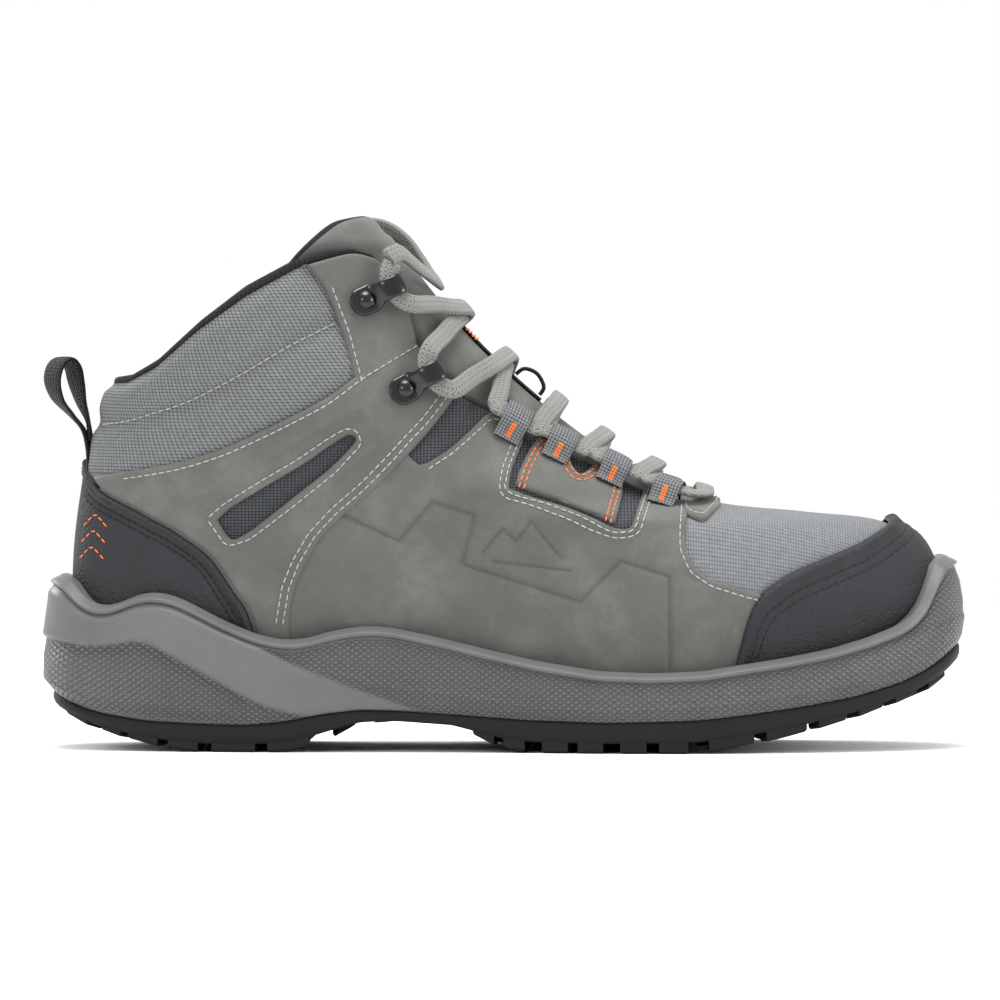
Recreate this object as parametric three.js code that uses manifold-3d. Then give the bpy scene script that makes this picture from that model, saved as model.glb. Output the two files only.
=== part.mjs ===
// A mid-cut hiking boot for the right foot, laced, standing on flat ground.
// Millimetres, +Z up, +X towards the toe, -Y the outer (lateral) side.
// The origin is on the ground, under the middle of the boot.
import * as THREE from "three";
import { mergeVertices } from "three/addons/utils/BufferGeometryUtils.js";
import Module from "manifold-3d";

const wasm = await Module();
wasm.setup();

// ---------------------------------------------------------------- driving sizes
const SOLE_LENGTH = 300; // heel to toe, over the sole
const UPPER_WIDTH = 104; // across the ball of the foot, over the leather
const COLLAR_BACK_HEIGHT = 119; // ground to the back of the collar

const TEXTILE = 1.0; // woven vamp, mesh and collar cover
const LEATHER = 1.2; // nubuck panels and moulded overlays
const LINING = 1.0;
const STIFFENER = 1.5; // toe puff and heel counter
const COLLAR_PAD = 6.0; // how much further in the lining lies behind the collar foam
const TONGUE_PAD = 5.0;
const SEAM = 0.3; // clearance between two pieces that lie on each other
const SOLE_SEAM = 0.7; // clearance between the midsole and the outsole
const BUTT = 0.6; // clearance between two edges that meet in one layer

const BOARD = 1.6;
const FOOTBED = 4.5;
const SHANK = 1.2;
const SHANK_LENGTH = 96;
const SHANK_WIDTH = 22;
const OUTSOLE = 3.0; // the plate, without its lugs
const LUG_ROOT = 1.2; // how far a lug is buried in the plate

const LACE_WIDTH = 5.4;
const LACE_THICK = 1.8;
const LOOP_LENGTH = 9; // webbing lace loop, along the lace
const LOOP_WALL = 1.0;
const LOOP_ROOM = 0.9; // clearance between the lace and the loop
const HOOK_WIDTH = 6.6;
const HOOK_PLATE = 1.1;
const RIVET_HEAD = 2.9;
const RIVET_SHANK = 1.3;
const RIVET_ROOM = 0.3;
const WEBBING = 1.5;
const PULL_WIDTH = 12;
const AGLET_RADIUS = 1.7;
const AGLET_LENGTH = 20;

// The outlines below are drawn for a boot of these sizes and stretched to the ones above.
const DRAWN = { length: 300, width: 104, collar: 119 };
const KX = SOLE_LENGTH / DRAWN.length;
const KY = UPPER_WIDTH / DRAWN.width;
const KZ = COLLAR_BACK_HEIGHT / DRAWN.collar;

// The layers of the upper, as distances outwards from the face of the textile.
const PANEL = SEAM; // nubuck panels lie on the textile
const OVERLAY = PANEL + LEATHER + SEAM; // overlays lie on the nubuck
const OUTSIDE = OVERLAY + LEATHER;
const STIFF = -TEXTILE - SEAM;
const LINED = STIFF - STIFFENER - SEAM;

// ---------------------------------------------------------------- small helpers
const smooth = (low, high, v) => {
  const t = Math.min(1, Math.max(0, (v - low) / (high - low)));
  return t * t * (3 - 2 * t);
};
const mix = (a, b, t) => a + (b - a) * t;
const vec = (x, y, z) => new THREE.Vector3(x, y, z);

// A smooth line through drawn side-view points, read at evenly spaced knots.
const profile = (points) => new THREE.SplineCurve(points.map(([x, z]) => new THREE.Vector2(x * KX, z * KZ)));

// A height along the boot: straight runs between [x, z] pairs, rounded by averaging.
function heightLine(points) {
  const at = (x) => {
    const i = points.findIndex(([px]) => px * KX > x);
    if (i === 0) return points[0][1] * KZ;
    if (i < 0) return points.at(-1)[1] * KZ;
    const [[xa, za], [xb, zb]] = [points[i - 1], points[i]];
    return mix(za, zb, (x - xa * KX) / ((xb - xa) * KX)) * KZ;
  };
  const REACH = 4;
  return (x) => (at(x - REACH) + 2 * at(x) + at(x + REACH)) / 4;
}

const toSolid = (geometry) => {
  const bare = geometry.index ? geometry.toNonIndexed() : geometry.clone();
  const only = new THREE.BufferGeometry().setAttribute("position", bare.getAttribute("position"));
  const merged = mergeVertices(only, 1e-3);
  return new wasm.Manifold(
    new wasm.Mesh({
      numProp: 3,
      vertProperties: merged.attributes.position.array,
      triVerts: new Uint32Array(merged.index.array),
    }),
  );
};

const FLATNESS = 0.06; // facets this close to flat are joined
const toGeometry = (solid) => {
  const mesh = solid.simplify(FLATNESS).getMesh();
  const position = new THREE.BufferAttribute(new Float32Array(mesh.vertProperties), 3);
  const geometry = new THREE.BufferGeometry().setAttribute("position", position);
  return geometry.setIndex(new THREE.BufferAttribute(mesh.triVerts, 1));
};

// A closed skin over rings of equally many points. Each end is closed by a ladder
// from point j to point -j, which suits a ring whose two halves mirror each other.
function skin(rings) {
  const n = rings[0].length;
  const index = [];
  for (let r = 0; r + 1 < rings.length; r++) {
    for (let j = 0; j < n; j++) {
      const a = r * n + j;
      const b = r * n + ((j + 1) % n);
      index.push(a, b, a + n, b, b + n, a + n);
    }
  }
  const ladder = (start, flip) => {
    for (let j = 0; j < n / 2; j++) {
      const [a, b] = [start + j, start + j + 1];
      const [c, d] = [start + ((n - j) % n), start + ((n - j - 1) % n)];
      const faces = [
        [a, c, b],
        [b, c, d],
      ].filter((f) => new Set(f).size === 3);
      for (const f of faces) index.push(...(flip ? f.reverse() : f));
    }
  };
  ladder(0, false);
  ladder((rings.length - 1) * n, true);
  const flat = rings.flat().flatMap((p) => [p.x, p.y, p.z]);
  const geometry = new THREE.BufferGeometry();
  geometry.setAttribute("position", new THREE.Float32BufferAttribute(flat, 3));
  geometry.setIndex(index);
  const solid = toSolid(geometry);
  if (solid.volume() > 0) return solid;
  geometry.setIndex(index.reverse());
  return toSolid(geometry);
}

// A side-view outline. Each run of three points or more is a smooth line, and runs join straight.
function outline(...runs) {
  const STEPS = 2;
  const points = [];
  for (const run of runs) {
    const drawn = run.map(([x, z]) => new THREE.Vector2(x * KX, z * KZ));
    const curve = new THREE.SplineCurve(drawn);
    points.push(...(run.length > 2 ? curve.getPoints((run.length - 1) * STEPS) : drawn));
  }
  return points;
}

// The outline pushed across the boot, from one y to another.
function across(points, y0, y1, hole) {
  const section = (line) => new wasm.CrossSection([line.map(({ x, y }) => [x, y])], "NonZero");
  const shape = hole ? section(points).subtract(section(hole)) : section(points);
  return shape.extrude(y1 - y0).rotate([90, 0, 0]).translate([0, y1, 0]);
}
const FAR = 200; // past everything, for a cut that goes right through
const MIDDLE = BUTT / 2;
const lateralOf = (points, hole) => across(points, -FAR, -MIDDLE, hole);
const medialOf = (points, hole) => across(points, MIDDLE, FAR, hole);
const bothOf = (points) => across(points, -FAR, FAR);

const root = new THREE.Group();
const finishes = {
  nubuck: { color: 0x767672, roughness: 0.85, metalness: 0 },
  moulded: { color: 0x3f4043, roughness: 0.7, metalness: 0 },
  cloth: { color: 0x8f9295, roughness: 0.9, metalness: 0 },
  mesh: { color: 0x55585b, roughness: 0.9, metalness: 0 },
  lining: { color: 0x2b2b2d, roughness: 0.95, metalness: 0 },
  foam: { color: 0xbdb8a8, roughness: 0.95, metalness: 0 },
  board: { color: 0xc9bfa4, roughness: 0.9, metalness: 0 },
  plastic: { color: 0x303236, roughness: 0.5, metalness: 0 },
  midsole: { color: 0x7f8081, roughness: 0.6, metalness: 0 },
  rubber: { color: 0x242527, roughness: 0.75, metalness: 0 },
  metal: { color: 0x1b1c1e, roughness: 0.3, metalness: 0.8 },
  lace: { color: 0x8d8d88, roughness: 0.9, metalness: 0 },
  webbing: { color: 0x1c1d20, roughness: 0.85, metalness: 0 },
  loop: { color: 0x707274, roughness: 0.9, metalness: 0 },
};
function add(name, solid, finish) {
  const mesh = new THREE.Mesh(toGeometry(solid), new THREE.MeshStandardMaterial(finishes[finish]));
  mesh.name = name;
  root.add(mesh);
}

// ---------------------------------------------------------------- the foot form
// Rings go round the boot from the heel to the toe or instep and back. Ring h = 0 is
// where the upper meets the board and ring h = 1 is close to the collar. Each ring
// joins a point of the heel line to a point of the front line.
const H_LOW = -0.1;
const H_HIGH = 1.2;
const heelLine = profile([
  [-129, 18], [-133, 28], [-135.8, 38], [-136.8, 48], [-136.8, 58], [-136.3, 67], [-135.3, 76],
  [-134, 85], [-132.8, 94], [-131.7, 102], [-129.5, 110], [-126, 119], [-122.5, 128], [-119, 137],
]);
const frontLine = profile([
  [131, 30], [136, 40], [139.5, 50], [138, 60.5], [132.5, 68.5], [121, 74], [98, 76.5],
  [66, 80.5], [38, 93.5], [13, 111.5], [-12, 135], [-35, 164], [-52, 188], [-66, 210],
]);
// Half widths at the heel, the waist and the ball, for rings 0, 0.2, ... 1.
const HALF = {
  lateral: {
    heel: [37, 40, 40, 39.5, 38, 38],
    waist: [34, 38, 38, 38, 38, 39],
    ball: [50, 54, 52, 45, 38, 36],
  },
  medial: {
    heel: [37, 40, 40, 39.5, 38, 38],
    waist: [29, 33, 35, 37, 38, 39],
    ball: [47, 50, 48, 43, 38, 36],
  },
};
const HEEL_AT = 0.15;
const WAIST_AT = 0.42;
const BALL_AT = 0.76;
const SOLE_DIP = 16; // how far the sole dips under the ball, below a straight line from heel to toe
const TOE_SWING = 5; // the toe lies this far to the inner side
const OFFSET = 0.77; // the foot form's middle, so that the sole's box is centred

function fromTable(list, h) {
  const t = Math.min(4.999, Math.max(0, h * 5));
  const i = Math.floor(t);
  return mix(list[i], list[i + 1], smooth(0, 1, t - i));
}
function halfWidth(h, along, side) {
  const [heel, waist, ball] = [side.heel, side.waist, side.ball].map((list) => fromTable(list, h));
  const back = mix(heel, waist, smooth(HEEL_AT, WAIST_AT, along));
  return mix(back, ball, smooth(WAIST_AT, BALL_AT, along)) * KY;
}
// How blunt a ring's ends are: 1 is an ellipse, less is squarer.
const bluntness = (h) => mix(0.6, 0.85, smooth(0.1, 0.8, h));

function basePoint(h, angle) {
  const t = (h - H_LOW) / (H_HIGH - H_LOW);
  const [b, f] = [heelLine.getPoint(t), frontLine.getPoint(t)];
  const along = (1 - Math.cos(angle)) / 2;
  const sine = Math.sin(angle);
  const x = mix(b.x, f.x, along);
  const fade = Math.max(0, 1 - Math.max(0, h) / 0.45) ** 2;
  const z = mix(b.y, f.y, along) - SOLE_DIP * KZ * Math.sin(Math.PI * along ** 2) * fade;
  const side = sine > 0 ? HALF.lateral : HALF.medial;
  const y = -Math.sign(sine) * halfWidth(h, along, side) * Math.abs(sine) ** bluntness(h);
  return vec(x, y + (OFFSET + TOE_SWING * smooth(20 * KX, 140 * KX, x)) * KY, z);
}
function baseNormal(h, angle) {
  const E = 0.004;
  const up = basePoint(h + E, angle).sub(basePoint(h - E, angle));
  const round = basePoint(h, angle + E).sub(basePoint(h, angle - E));
  return round.cross(up).normalize();
}
const outwards = (h, angle, d) => basePoint(h, angle).addScaledVector(baseNormal(h, angle), d);

const ROUND = 28; // points round a ring
// Ring points lie closer together at the heel and the toe.
const angleOf = (j) => {
  const a = (2 * Math.PI * j) / ROUND;
  return a - 0.25 * Math.sin(2 * a);
};
const ring = (h, d, lift = 0) =>
  Array.from({ length: ROUND }, (_, j) => {
    const angle = angleOf(j);
    const p = outwards(h, angle, typeof d === "function" ? d(h, angle) : d);
    return vec(p.x, p.y, p.z + lift);
  });
const LEVELS = [0, 0.09, 0.18, 0.28, 0.38, 0.48, 0.58, 0.68, 0.78, 0.88, 0.98, 1.08];
// The space inside the surface at distance d from the textile's face.
const inside = (d) => skin(LEVELS.map((h) => ring(h, d)));
// The same, longer at both ends, for hollowing.
const hollow = (d) => skin([-0.06, ...LEVELS, 1.16].map((h) => ring(h, d)));
const layer = (dIn, dOut) => inside(dOut).subtract(hollow(dIn));

// Where a side-view point lies on the foot form: its ring and its angle.
function locate(x, z, lateral = true) {
  let [low, high] = [H_LOW, H_HIGH];
  let along = 0;
  for (let i = 0; i < 40; i++) {
    const h = (low + high) / 2;
    const t = (h - H_LOW) / (H_HIGH - H_LOW);
    const [b, f] = [heelLine.getPoint(t), frontLine.getPoint(t)];
    along = (x - b.x) / (f.x - b.x);
    const fade = Math.max(0, 1 - Math.max(0, h) / 0.45) ** 2;
    const inRange = Math.min(1, Math.max(0, along));
    const height = mix(b.y, f.y, inRange) - SOLE_DIP * KZ * Math.sin(Math.PI * inRange ** 2) * fade;
    if (along > 1 || height > z) high = h;
    else low = h;
  }
  const angle = Math.acos(1 - 2 * Math.min(1, Math.max(0, along)));
  return { h: (low + high) / 2, angle: lateral ? angle : 2 * Math.PI - angle };
}

// ---------------------------------------------------------------- edges shared by the panels
// Front edge of the eyestay row, from the vamp up to the top of the facing.
const THROAT = [
  [66, 78.5], [57, 79.8], [45.7, 84.2], [30, 92.2], [13, 101.5], [-3, 109], [-14.8, 115.5],
  [-23.6, 124.5], [-28.6, 132], [-33.3, 147], [-37.3, 154.5],
];
const COLLAR_TOP = [
  [-37.3, 154.5], [-42, 158], [-48, 159.6], [-54, 158.8], [-66, 155.4], [-82, 146.6],
  [-98, 135.2], [-112, 123.2], [-121, 118.6], [-150, 117],
];
// Top edge of the ankle overlay, from the heel to the facing.
const ANKLE_TOP = [
  [-150, 86.5], [-131, 88.2], [-120, 90], [-104, 93], [-90, 97.5], [-77, 103.4], [-65, 109.3],
  [-55, 114.8], [-46, 121.4], [-38, 126.3], [-29.1, 131.5],
];
const ANKLE_FRONT = [
  [-14.8, 115], [-23.6, 103], [-33.3, 92.3], [-42, 83.9], [-51.2, 76], [-58.7, 67.9],
  [-63.5, 59.5], [-66.5, 52], [-68.3, 42], [-68, 20],
];
const HEEL_EDGE = [
  [-150, 103], [-136, 100], [-134.5, 94], [-131.8, 87.6], [-128.7, 83.3], [-120.4, 78.7],
  [-112, 74.2], [-104, 69.8], [-94, 62.4], [-86.3, 51.5], [-81, 42.7], [-76, 22],
];
const TOE_EDGE = [
  [72.5, 20], [74.8, 30], [77.8, 41.4], [81.3, 49.1], [86.9, 54.1], [94, 58.3], [104.6, 62.5],
  [115.2, 66.6], [122, 70.2], [124.2, 74], [121.5, 84],
];
const WINDOW = [
  [-91.6, 74.5], [-87.5, 78.3], [-80, 83], [-65, 91.9], [-55.1, 98.6], [-49.4, 101.8],
  [-47.3, 99.6], [-55.1, 91.4], [-65, 83.5], [-75, 75.5], [-82, 70.2], [-87.4, 68.4], [-91.6, 74.5],
];
// The notch in the quarter that holds the eyestay, and the eyestay in it.
const NOTCH = [
  [[7.5, 103.4], [5.4, 96.9], [2.8, 90], [1.9, 84.4]],
  [[12.2, 80.8], [25.2, 76.4], [36.5, 72], [41.1, 72.4], [43, 76.8], [45.7, 84.2]],
];
const EYESTAY = [
  [[4, 85.4], [5.5, 90.4], [9.2, 97.8], [12.5, 101]],
  [[21.2, 97], [21.8, 92], [24.3, 88.6], [26.6, 89.4], [29.9, 92.2]],
  [[34.5, 90.4], [38, 87.4]],
  [[38.6, 84.8], [37.8, 79.6], [36, 73.4]],
];
const BELOW = 5; // under the sole side of every panel
const lowered = (points, by) => points.map(([x, z]) => [x, z - by]);
const reversed = (points) => [...points].reverse();

// ---------------------------------------------------------------- rivets and their holes
const HOOKS = [
  { name: "upper", rivet: [-44.9, 144.1], tip: [-34.4, 148.6] },
  { name: "lower", rivet: [-31.7, 115.7], tip: [-21.1, 121.0] },
];
const HOOK_LIFT = OUTSIDE + SEAM;
// A frame on the surface: u runs towards a second point, w straight out, v across.
function seat([x, z], [tx, tz], lateral) {
  const at = locate(x * KX, z * KZ, lateral);
  const to = locate(tx * KX, tz * KZ, lateral);
  const w = baseNormal(at.h, at.angle);
  const u = basePoint(to.h, to.angle).sub(basePoint(at.h, at.angle));
  u.addScaledVector(w, -u.dot(w)).normalize();
  const v = w.clone().cross(u);
  return { origin: basePoint(at.h, at.angle), u, v, w };
}
const placed = (geometry, { origin, u, v, w }, lift) => {
  const turn = new THREE.Matrix4().makeBasis(u, v, w);
  turn.setPosition(origin.clone().addScaledVector(w, lift));
  return toSolid(geometry.clone().applyMatrix4(turn));
};
const SIDES = [
  { side: "lateral", isLateral: true },
  { side: "medial", isLateral: false },
];
const hookSeats = SIDES.flatMap(({ side, isLateral }) =>
  HOOKS.map(({ name, rivet, tip }) => ({ name: `${side}_${name}`, ...seat(rivet, tip, isLateral) })),
);
const RIVET_DEPTH = 4.6; // from the hook's seat down through the leather
const rivetHoles = hookSeats.map((s) => {
  const hole = new THREE.CylinderGeometry(RIVET_SHANK + RIVET_ROOM, RIVET_SHANK + RIVET_ROOM, 24, 10);
  return placed(hole.rotateX(Math.PI / 2), s, HOOK_LIFT - RIVET_DEPTH + 11);
});
const drilled = (solid) => rivetHoles.reduce((left, hole) => left.subtract(hole), solid);

// ---------------------------------------------------------------- the upper
const padding = (h, angle) => {
  const fromFront = Math.abs(Math.PI - angle);
  return -COLLAR_PAD * smooth(0.58, 0.76, h) * smooth(0.95, 1.35, fromFront);
};
const liningFace = (h, angle) => LINED + padding(h, angle);

const textile = layer(-TEXTILE, 0);
const nubuck = layer(PANEL, PANEL + LEATHER);
const overlay = layer(OVERLAY, OUTSIDE);
const stiff = layer(STIFF - STIFFENER, STIFF);
const lined = layer((h, a) => liningFace(h, a) - LINING, liningFace);
const padded = layer((h, a) => liningFace(h, a) + SEAM, STIFF);

const VAMP_AT = 54; // the vamp and the quarters meet here, under the nubuck
const THROAT_END = 66;
const vampShape = outline(
  [[VAMP_AT + BUTT, BELOW], [160, BELOW]],
  [[160, 120], [THROAT_END, 120]],
  [[THROAT_END, 78.5], [VAMP_AT + BUTT, 79.4]],
);
const collarLow = lowered(ANKLE_TOP, 6);
const behindThroat = THROAT.filter(([x]) => x < VAMP_AT);
const quarterShape = (top, front) => outline([[-150, BELOW], [front, BELOW]], ...top, [[-150, 60]]);
const meshTop = THROAT.filter(([x, z]) => x < VAMP_AT && z < 125);
const meshShape = quarterShape([[[VAMP_AT, 80.4], ...meshTop], reversed(collarLow.slice(0, -1))], VAMP_AT);
const collarShape = outline(
  lowered(ANKLE_TOP, 6 - BUTT).slice(0, -1),
  [[-27, 127.5], ...THROAT.filter(([, z]) => z > 128)],
  COLLAR_TOP.slice(1),
);
const innerShape = outline(
  [[-150, BELOW], [50, BELOW]],
  [[50, 82], ...behindThroat.slice(1)],
  COLLAR_TOP.slice(1),
);

add("vamp", textile.intersect(bothOf(vampShape)), "cloth");
add("collar_cover", drilled(textile.intersect(bothOf(collarShape))), "cloth");
add("vamp_lining", lined.intersect(bothOf(vampShape)), "lining");
add("quarter_lining", drilled(lined.intersect(bothOf(innerShape))), "lining");

const TOE_PUFF_BACK = 96;
const COUNTER_FRONT = -62;
const puffShape = outline([[TOE_PUFF_BACK, BELOW], [160, BELOW]], [[160, 90], [TOE_PUFF_BACK + 14, 90]]);
add("toe_puff", stiff.intersect(bothOf(puffShape)), "plastic");
const counterShape = outline(
  [[-160, BELOW], [COUNTER_FRONT, BELOW]],
  [[COUNTER_FRONT - 10, 62], [-100, 76], [-160, 84]],
);
add("heel_counter", stiff.intersect(bothOf(counterShape)), "plastic");
const foamShape = outline(
  [[-150, 86], [-120, 88], [-100, 92], [-86, 97], [-74, 103], [-64, 110], [-56, 120]],
  [[-60, 152], [-68, 152.4]],
  COLLAR_TOP.slice(5, 9).map(([x, z]) => [x, z - 2]),
  [[-150, 115]],
);
add("collar_foam", padded.intersect(bothOf(foamShape)), "foam");

const ankleShape = outline(
  reversed(HEEL_EDGE.slice(3)).map(([x, z]) => [x + 1.4 * BUTT, z + BUTT * 0.6]),
  ANKLE_TOP.slice(2),
  [[-26.8, 128.4], [-20.5, 120.5]],
  ANKLE_FRONT,
);
const quarterFront = [
  [59.6, 79.2], [59.3, 76], [58.6, 72], [58.7, 65.7], [61.6, 59.2], [67.4, 55.3], [75.6, 52.7], [84, 50.4],
];
const quarterOutline = outline(
  [[-150, BELOW], [86, BELOW], [84, 40]],
  reversed(quarterFront),
  [[57, 79.8]],
  [[45.7, 84.2]],
  reversed(NOTCH[1]),
  reversed(NOTCH[0]),
  [[3.4, 105.6], [-3, 108.6], [-6, 107.4], [-11.2, 102.4], [-17.4, 96.9], [-24, 92.8]],
  [[-27, 92], [-30.5, 99], [-18, 116]],
  reversed(lowered(ANKLE_TOP, 3).slice(1, -1)).filter(([x]) => x < -30),
  [[-150, 84]],
);
const windowHole = outline(WINDOW.slice(0, -1).map(([x, z]) => [x, z]));
const facingShape = outline(
  [[-63.5, 155], [-56.8, 147.2], [-51.6, 133.7], [-47.5, 119]],
  lowered(ANKLE_TOP, 3 - BUTT).slice(-4, -1),
  [[-29.5, 129]],
  THROAT.slice(-3),
  COLLAR_TOP.slice(1, 5),
);
const patchShape = outline([[60.6, 90], [60.6, 76.4], [65, 74.2], [73, 74.8], [75, 90]]);
add("throat_patch", nubuck.intersect(bothOf(patchShape)), "nubuck");
for (const { side, isLateral } of SIDES) {
  const half = isLateral ? lateralOf : medialOf;
  add(`quarter_mesh_${side}`, drilled(textile.intersect(half(meshShape))), "mesh");
  add(`quarter_${side}`, drilled(nubuck.intersect(half(quarterOutline, windowHole))), "nubuck");
  add(`eyestay_${side}`, nubuck.intersect(half(outline(...EYESTAY))), "nubuck");
  add(`facing_${side}`, drilled(nubuck.intersect(half(facingShape))), "nubuck");
  add(`ankle_overlay_${side}`, drilled(overlay.intersect(half(ankleShape, windowHole))), "nubuck");
}
const heelShape = outline([[-76, BELOW], ...reversed(HEEL_EDGE)], [[-160, 103], [-160, BELOW]]);
add("heel_overlay", overlay.intersect(bothOf(heelShape)), "moulded");
const toeShape = outline([[160, BELOW], [72.5, BELOW]], TOE_EDGE, [[160, 84]]);
add("toe_overlay", overlay.intersect(bothOf(toeShape)), "moulded");

// ---------------------------------------------------------------- the tongue
// It lies under the facings and rises between them.
const TONGUE_RISE = 3.4;
const TONGUE_CLEAR = 1.4; // beside the risen part, to the throat's edge
const tongueFace = (h, angle) => liningFace(h, angle) - LINING - SEAM;
const throatGap = outline(
  THROAT.map(([x, z]) => [x + TONGUE_CLEAR, z + TONGUE_CLEAR]),
  [[-42, 160], [-60, 164], [-70, 157], [-75, 200], [120, 200], [120, 78]],
);
const risenFace = (h, a) => tongueFace(h, a) + TONGUE_RISE;
const risen = layer((h, a) => tongueFace(h, a) - 1, risenFace).intersect(bothOf(throatGap));
const tongueSolid = layer((h, a) => tongueFace(h, a) - TONGUE_PAD, tongueFace).add(risen);
const TONGUE_HINGE = [-25.5, 151.2]; // where the tip folds, just above the top lace
const tongueTop = [[-66.5, 158.5], [-62, 164], [-53, 171.6], [-46, 174.4], [-41.5, 174.2], [-37, 169.6]];
const tipCut = [[-66.5, 158], [-58, 161], [-48, 162.6], [-40, 160.6], [-33, 157], [-29, 154], TONGUE_HINGE];
const tongueBody = outline(
  [[62, 76.5], [40, 77], [22, 80], [2, 88], [-22, 104], [-44, 124], [-58, 142], [-66, 155]],
  lowered(tipCut, 0.8),
  [[-12, 150], [20, 140], [90, 92], [62, 92]],
);
add("tongue", tongueSolid.intersect(bothOf(tongueBody)), "nubuck");
const tipShape = outline(reversed(tipCut), tongueTop, [[-30, 190], [10, 160]]);
add("tongue_tip", tongueSolid.intersect(bothOf(tipShape)), "nubuck");

// A webbing strip down the middle of the tongue, and the strap on it that keeps the lace central.
const STRIP_HALF = 7;
const stripFace = (h, a) => tongueFace(h, a) + TONGUE_RISE + SEAM;
const strip = layer(stripFace, (h, a) => stripFace(h, a) + LINING);
const stripShape = outline([[-18.4, 135], [10, 105], [24, 110], [8, 126], [-13, 150]]);
add("tongue_strip", strip.intersect(across(stripShape, -STRIP_HALF, STRIP_HALF)), "webbing");

// The pull loop's root is tucked between the heel overlay and the collar.
const PULL_ROOT = [88, 102.5];
const pullRootBox = outline([
  [-150, PULL_ROOT[0]],
  [-120, PULL_ROOT[0]],
  [-120, PULL_ROOT[1]],
  [-150, PULL_ROOT[1]],
]);
add("pull_loop_root", nubuck.intersect(across(pullRootBox, -PULL_WIDTH / 2, PULL_WIDTH / 2)), "webbing");

// ---------------------------------------------------------------- the sole
const WALL_RING = 0.12; // the ring whose plan the sole follows
// Plan points of the sole's edge, a margin outside the foot form.
function soleRing(margin, height) {
  return Array.from({ length: ROUND }, (_, j) => {
    const angle = angleOf(j);
    const p = basePoint(WALL_RING, angle);
    const n = baseNormal(WALL_RING, angle).setZ(0).normalize();
    const m = margin(Math.cos(angle));
    const x = p.x + n.x * m;
    return vec(x, p.y + n.y * m, height(x));
  });
}
// A margin that differs at the heel, along the sides and at the toe.
const margins = (heel, side, toe) => (cosine) => {
  const [back, front] = [Math.max(0, cosine) ** 3, Math.max(0, -cosine) ** 3];
  return side + (heel - side) * back + (toe - side) * front;
};
const midsoleTop = heightLine([
  [-150, 57], [-142, 55], [-138, 49.4], [-132, 46.4], [-126, 46.8], [-117, 50.6], [-110, 50.8], [-104, 49],
  [-90, 41.9], [-79, 37.4], [-71, 35.8], [-64, 36], [-55, 38.6], [-45, 40.2], [-37, 40], [-20, 36.4],
  [-5, 32.6], [10, 29.2], [30, 26], [48, 25.4], [64, 26], [77, 28], [90, 29.9], [106, 32.8], [119, 36.4],
  [131, 40.8], [137.5, 46.4], [141, 55], [144, 62], [150, 62],
]);
const midsoleBottom = heightLine([
  [-151, 22], [-144, 16.3], [-131, 12], [-115, 9.4], [-98, 8.5], [-82, 8.1], [-69, 9.4], [-59, 11.7],
  [-46, 13.3], [-33, 13], [-7, 11.1], [6, 10.1], [32, 9.4], [48, 9.8], [64, 10.7], [80, 13.3], [97, 16.3],
  [113, 19.8], [129, 25], [140, 31], [150, 38],
]);
const treadLine = heightLine([
  [-151, 19], [-144, 12.7], [-134, 8.1], [-122, 4.4], [-110, 1.6], [-99, 0], [-70, 0], [-61, 2.2], [-46, 9.2],
  [-33, 10.2], [-17, 9.2], [-8, 5], [0, 1.6], [10, 0], [62, 0], [77, 2.4], [93, 5.6], [113, 11], [123, 14.4],
  [136, 18.8], [144, 23.4], [150, 30],
]);
const between = (share) => (x) => mix(midsoleBottom(x), midsoleTop(x), share);
const footRecess = skin([
  ring(0, OUTSIDE + SEAM, -BOARD - 3 * SEAM),
  ...LEVELS.slice(1, 8).map((h) => ring(h, OUTSIDE + SEAM)),
]);
const midsoleBody = skin([
  soleRing(margins(9, 8, 8), midsoleBottom),
  soleRing(margins(13.7, 9.5, 9.6), between(0.16)),
  soleRing(margins(12, 9.6, 10.2), between(0.42)),
  soleRing(margins(10.4, 8.6, 9.2), between(0.66)),
  soleRing(margins(9.6, 7.6, 6.4), between(0.88)),
  soleRing(margins(7, 6.2, 4.4), midsoleTop),
  soleRing(margins(-2, -4, -4), (x) => midsoleTop(x) - 1),
]);
const SHANK_AT = -30;
const shankRoom = new THREE.BoxGeometry(SHANK_LENGTH + 2 * SEAM, SHANK_WIDTH + 2 * SEAM, 20);
const boardTop = (x) => basePoint(0, locateAlong(x)).z;
function locateAlong(x) {
  const t = -H_LOW / (H_HIGH - H_LOW);
  const [b, f] = [heelLine.getPoint(t), frontLine.getPoint(t)];
  return Math.acos(1 - (2 * (x - b.x)) / (f.x - b.x));
}
const shankAngle = Math.atan2(
  boardTop(SHANK_AT - SHANK_LENGTH / 2) - boardTop(SHANK_AT + SHANK_LENGTH / 2),
  SHANK_LENGTH,
);
const shankTop = boardTop(SHANK_AT) - BOARD - 5 * SEAM;
const tilted = (geometry, z) =>
  toSolid(geometry.translate(0, 0, z).rotateY(shankAngle).translate(SHANK_AT, 0, shankTop));
const shankPocket = tilted(shankRoom, 10 - SHANK - SEAM);
add("midsole", midsoleBody.subtract(footRecess).subtract(shankPocket), "midsole");
add("shank", tilted(new THREE.BoxGeometry(SHANK_LENGTH, SHANK_WIDTH, SHANK), -SHANK / 2), "plastic");

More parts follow.
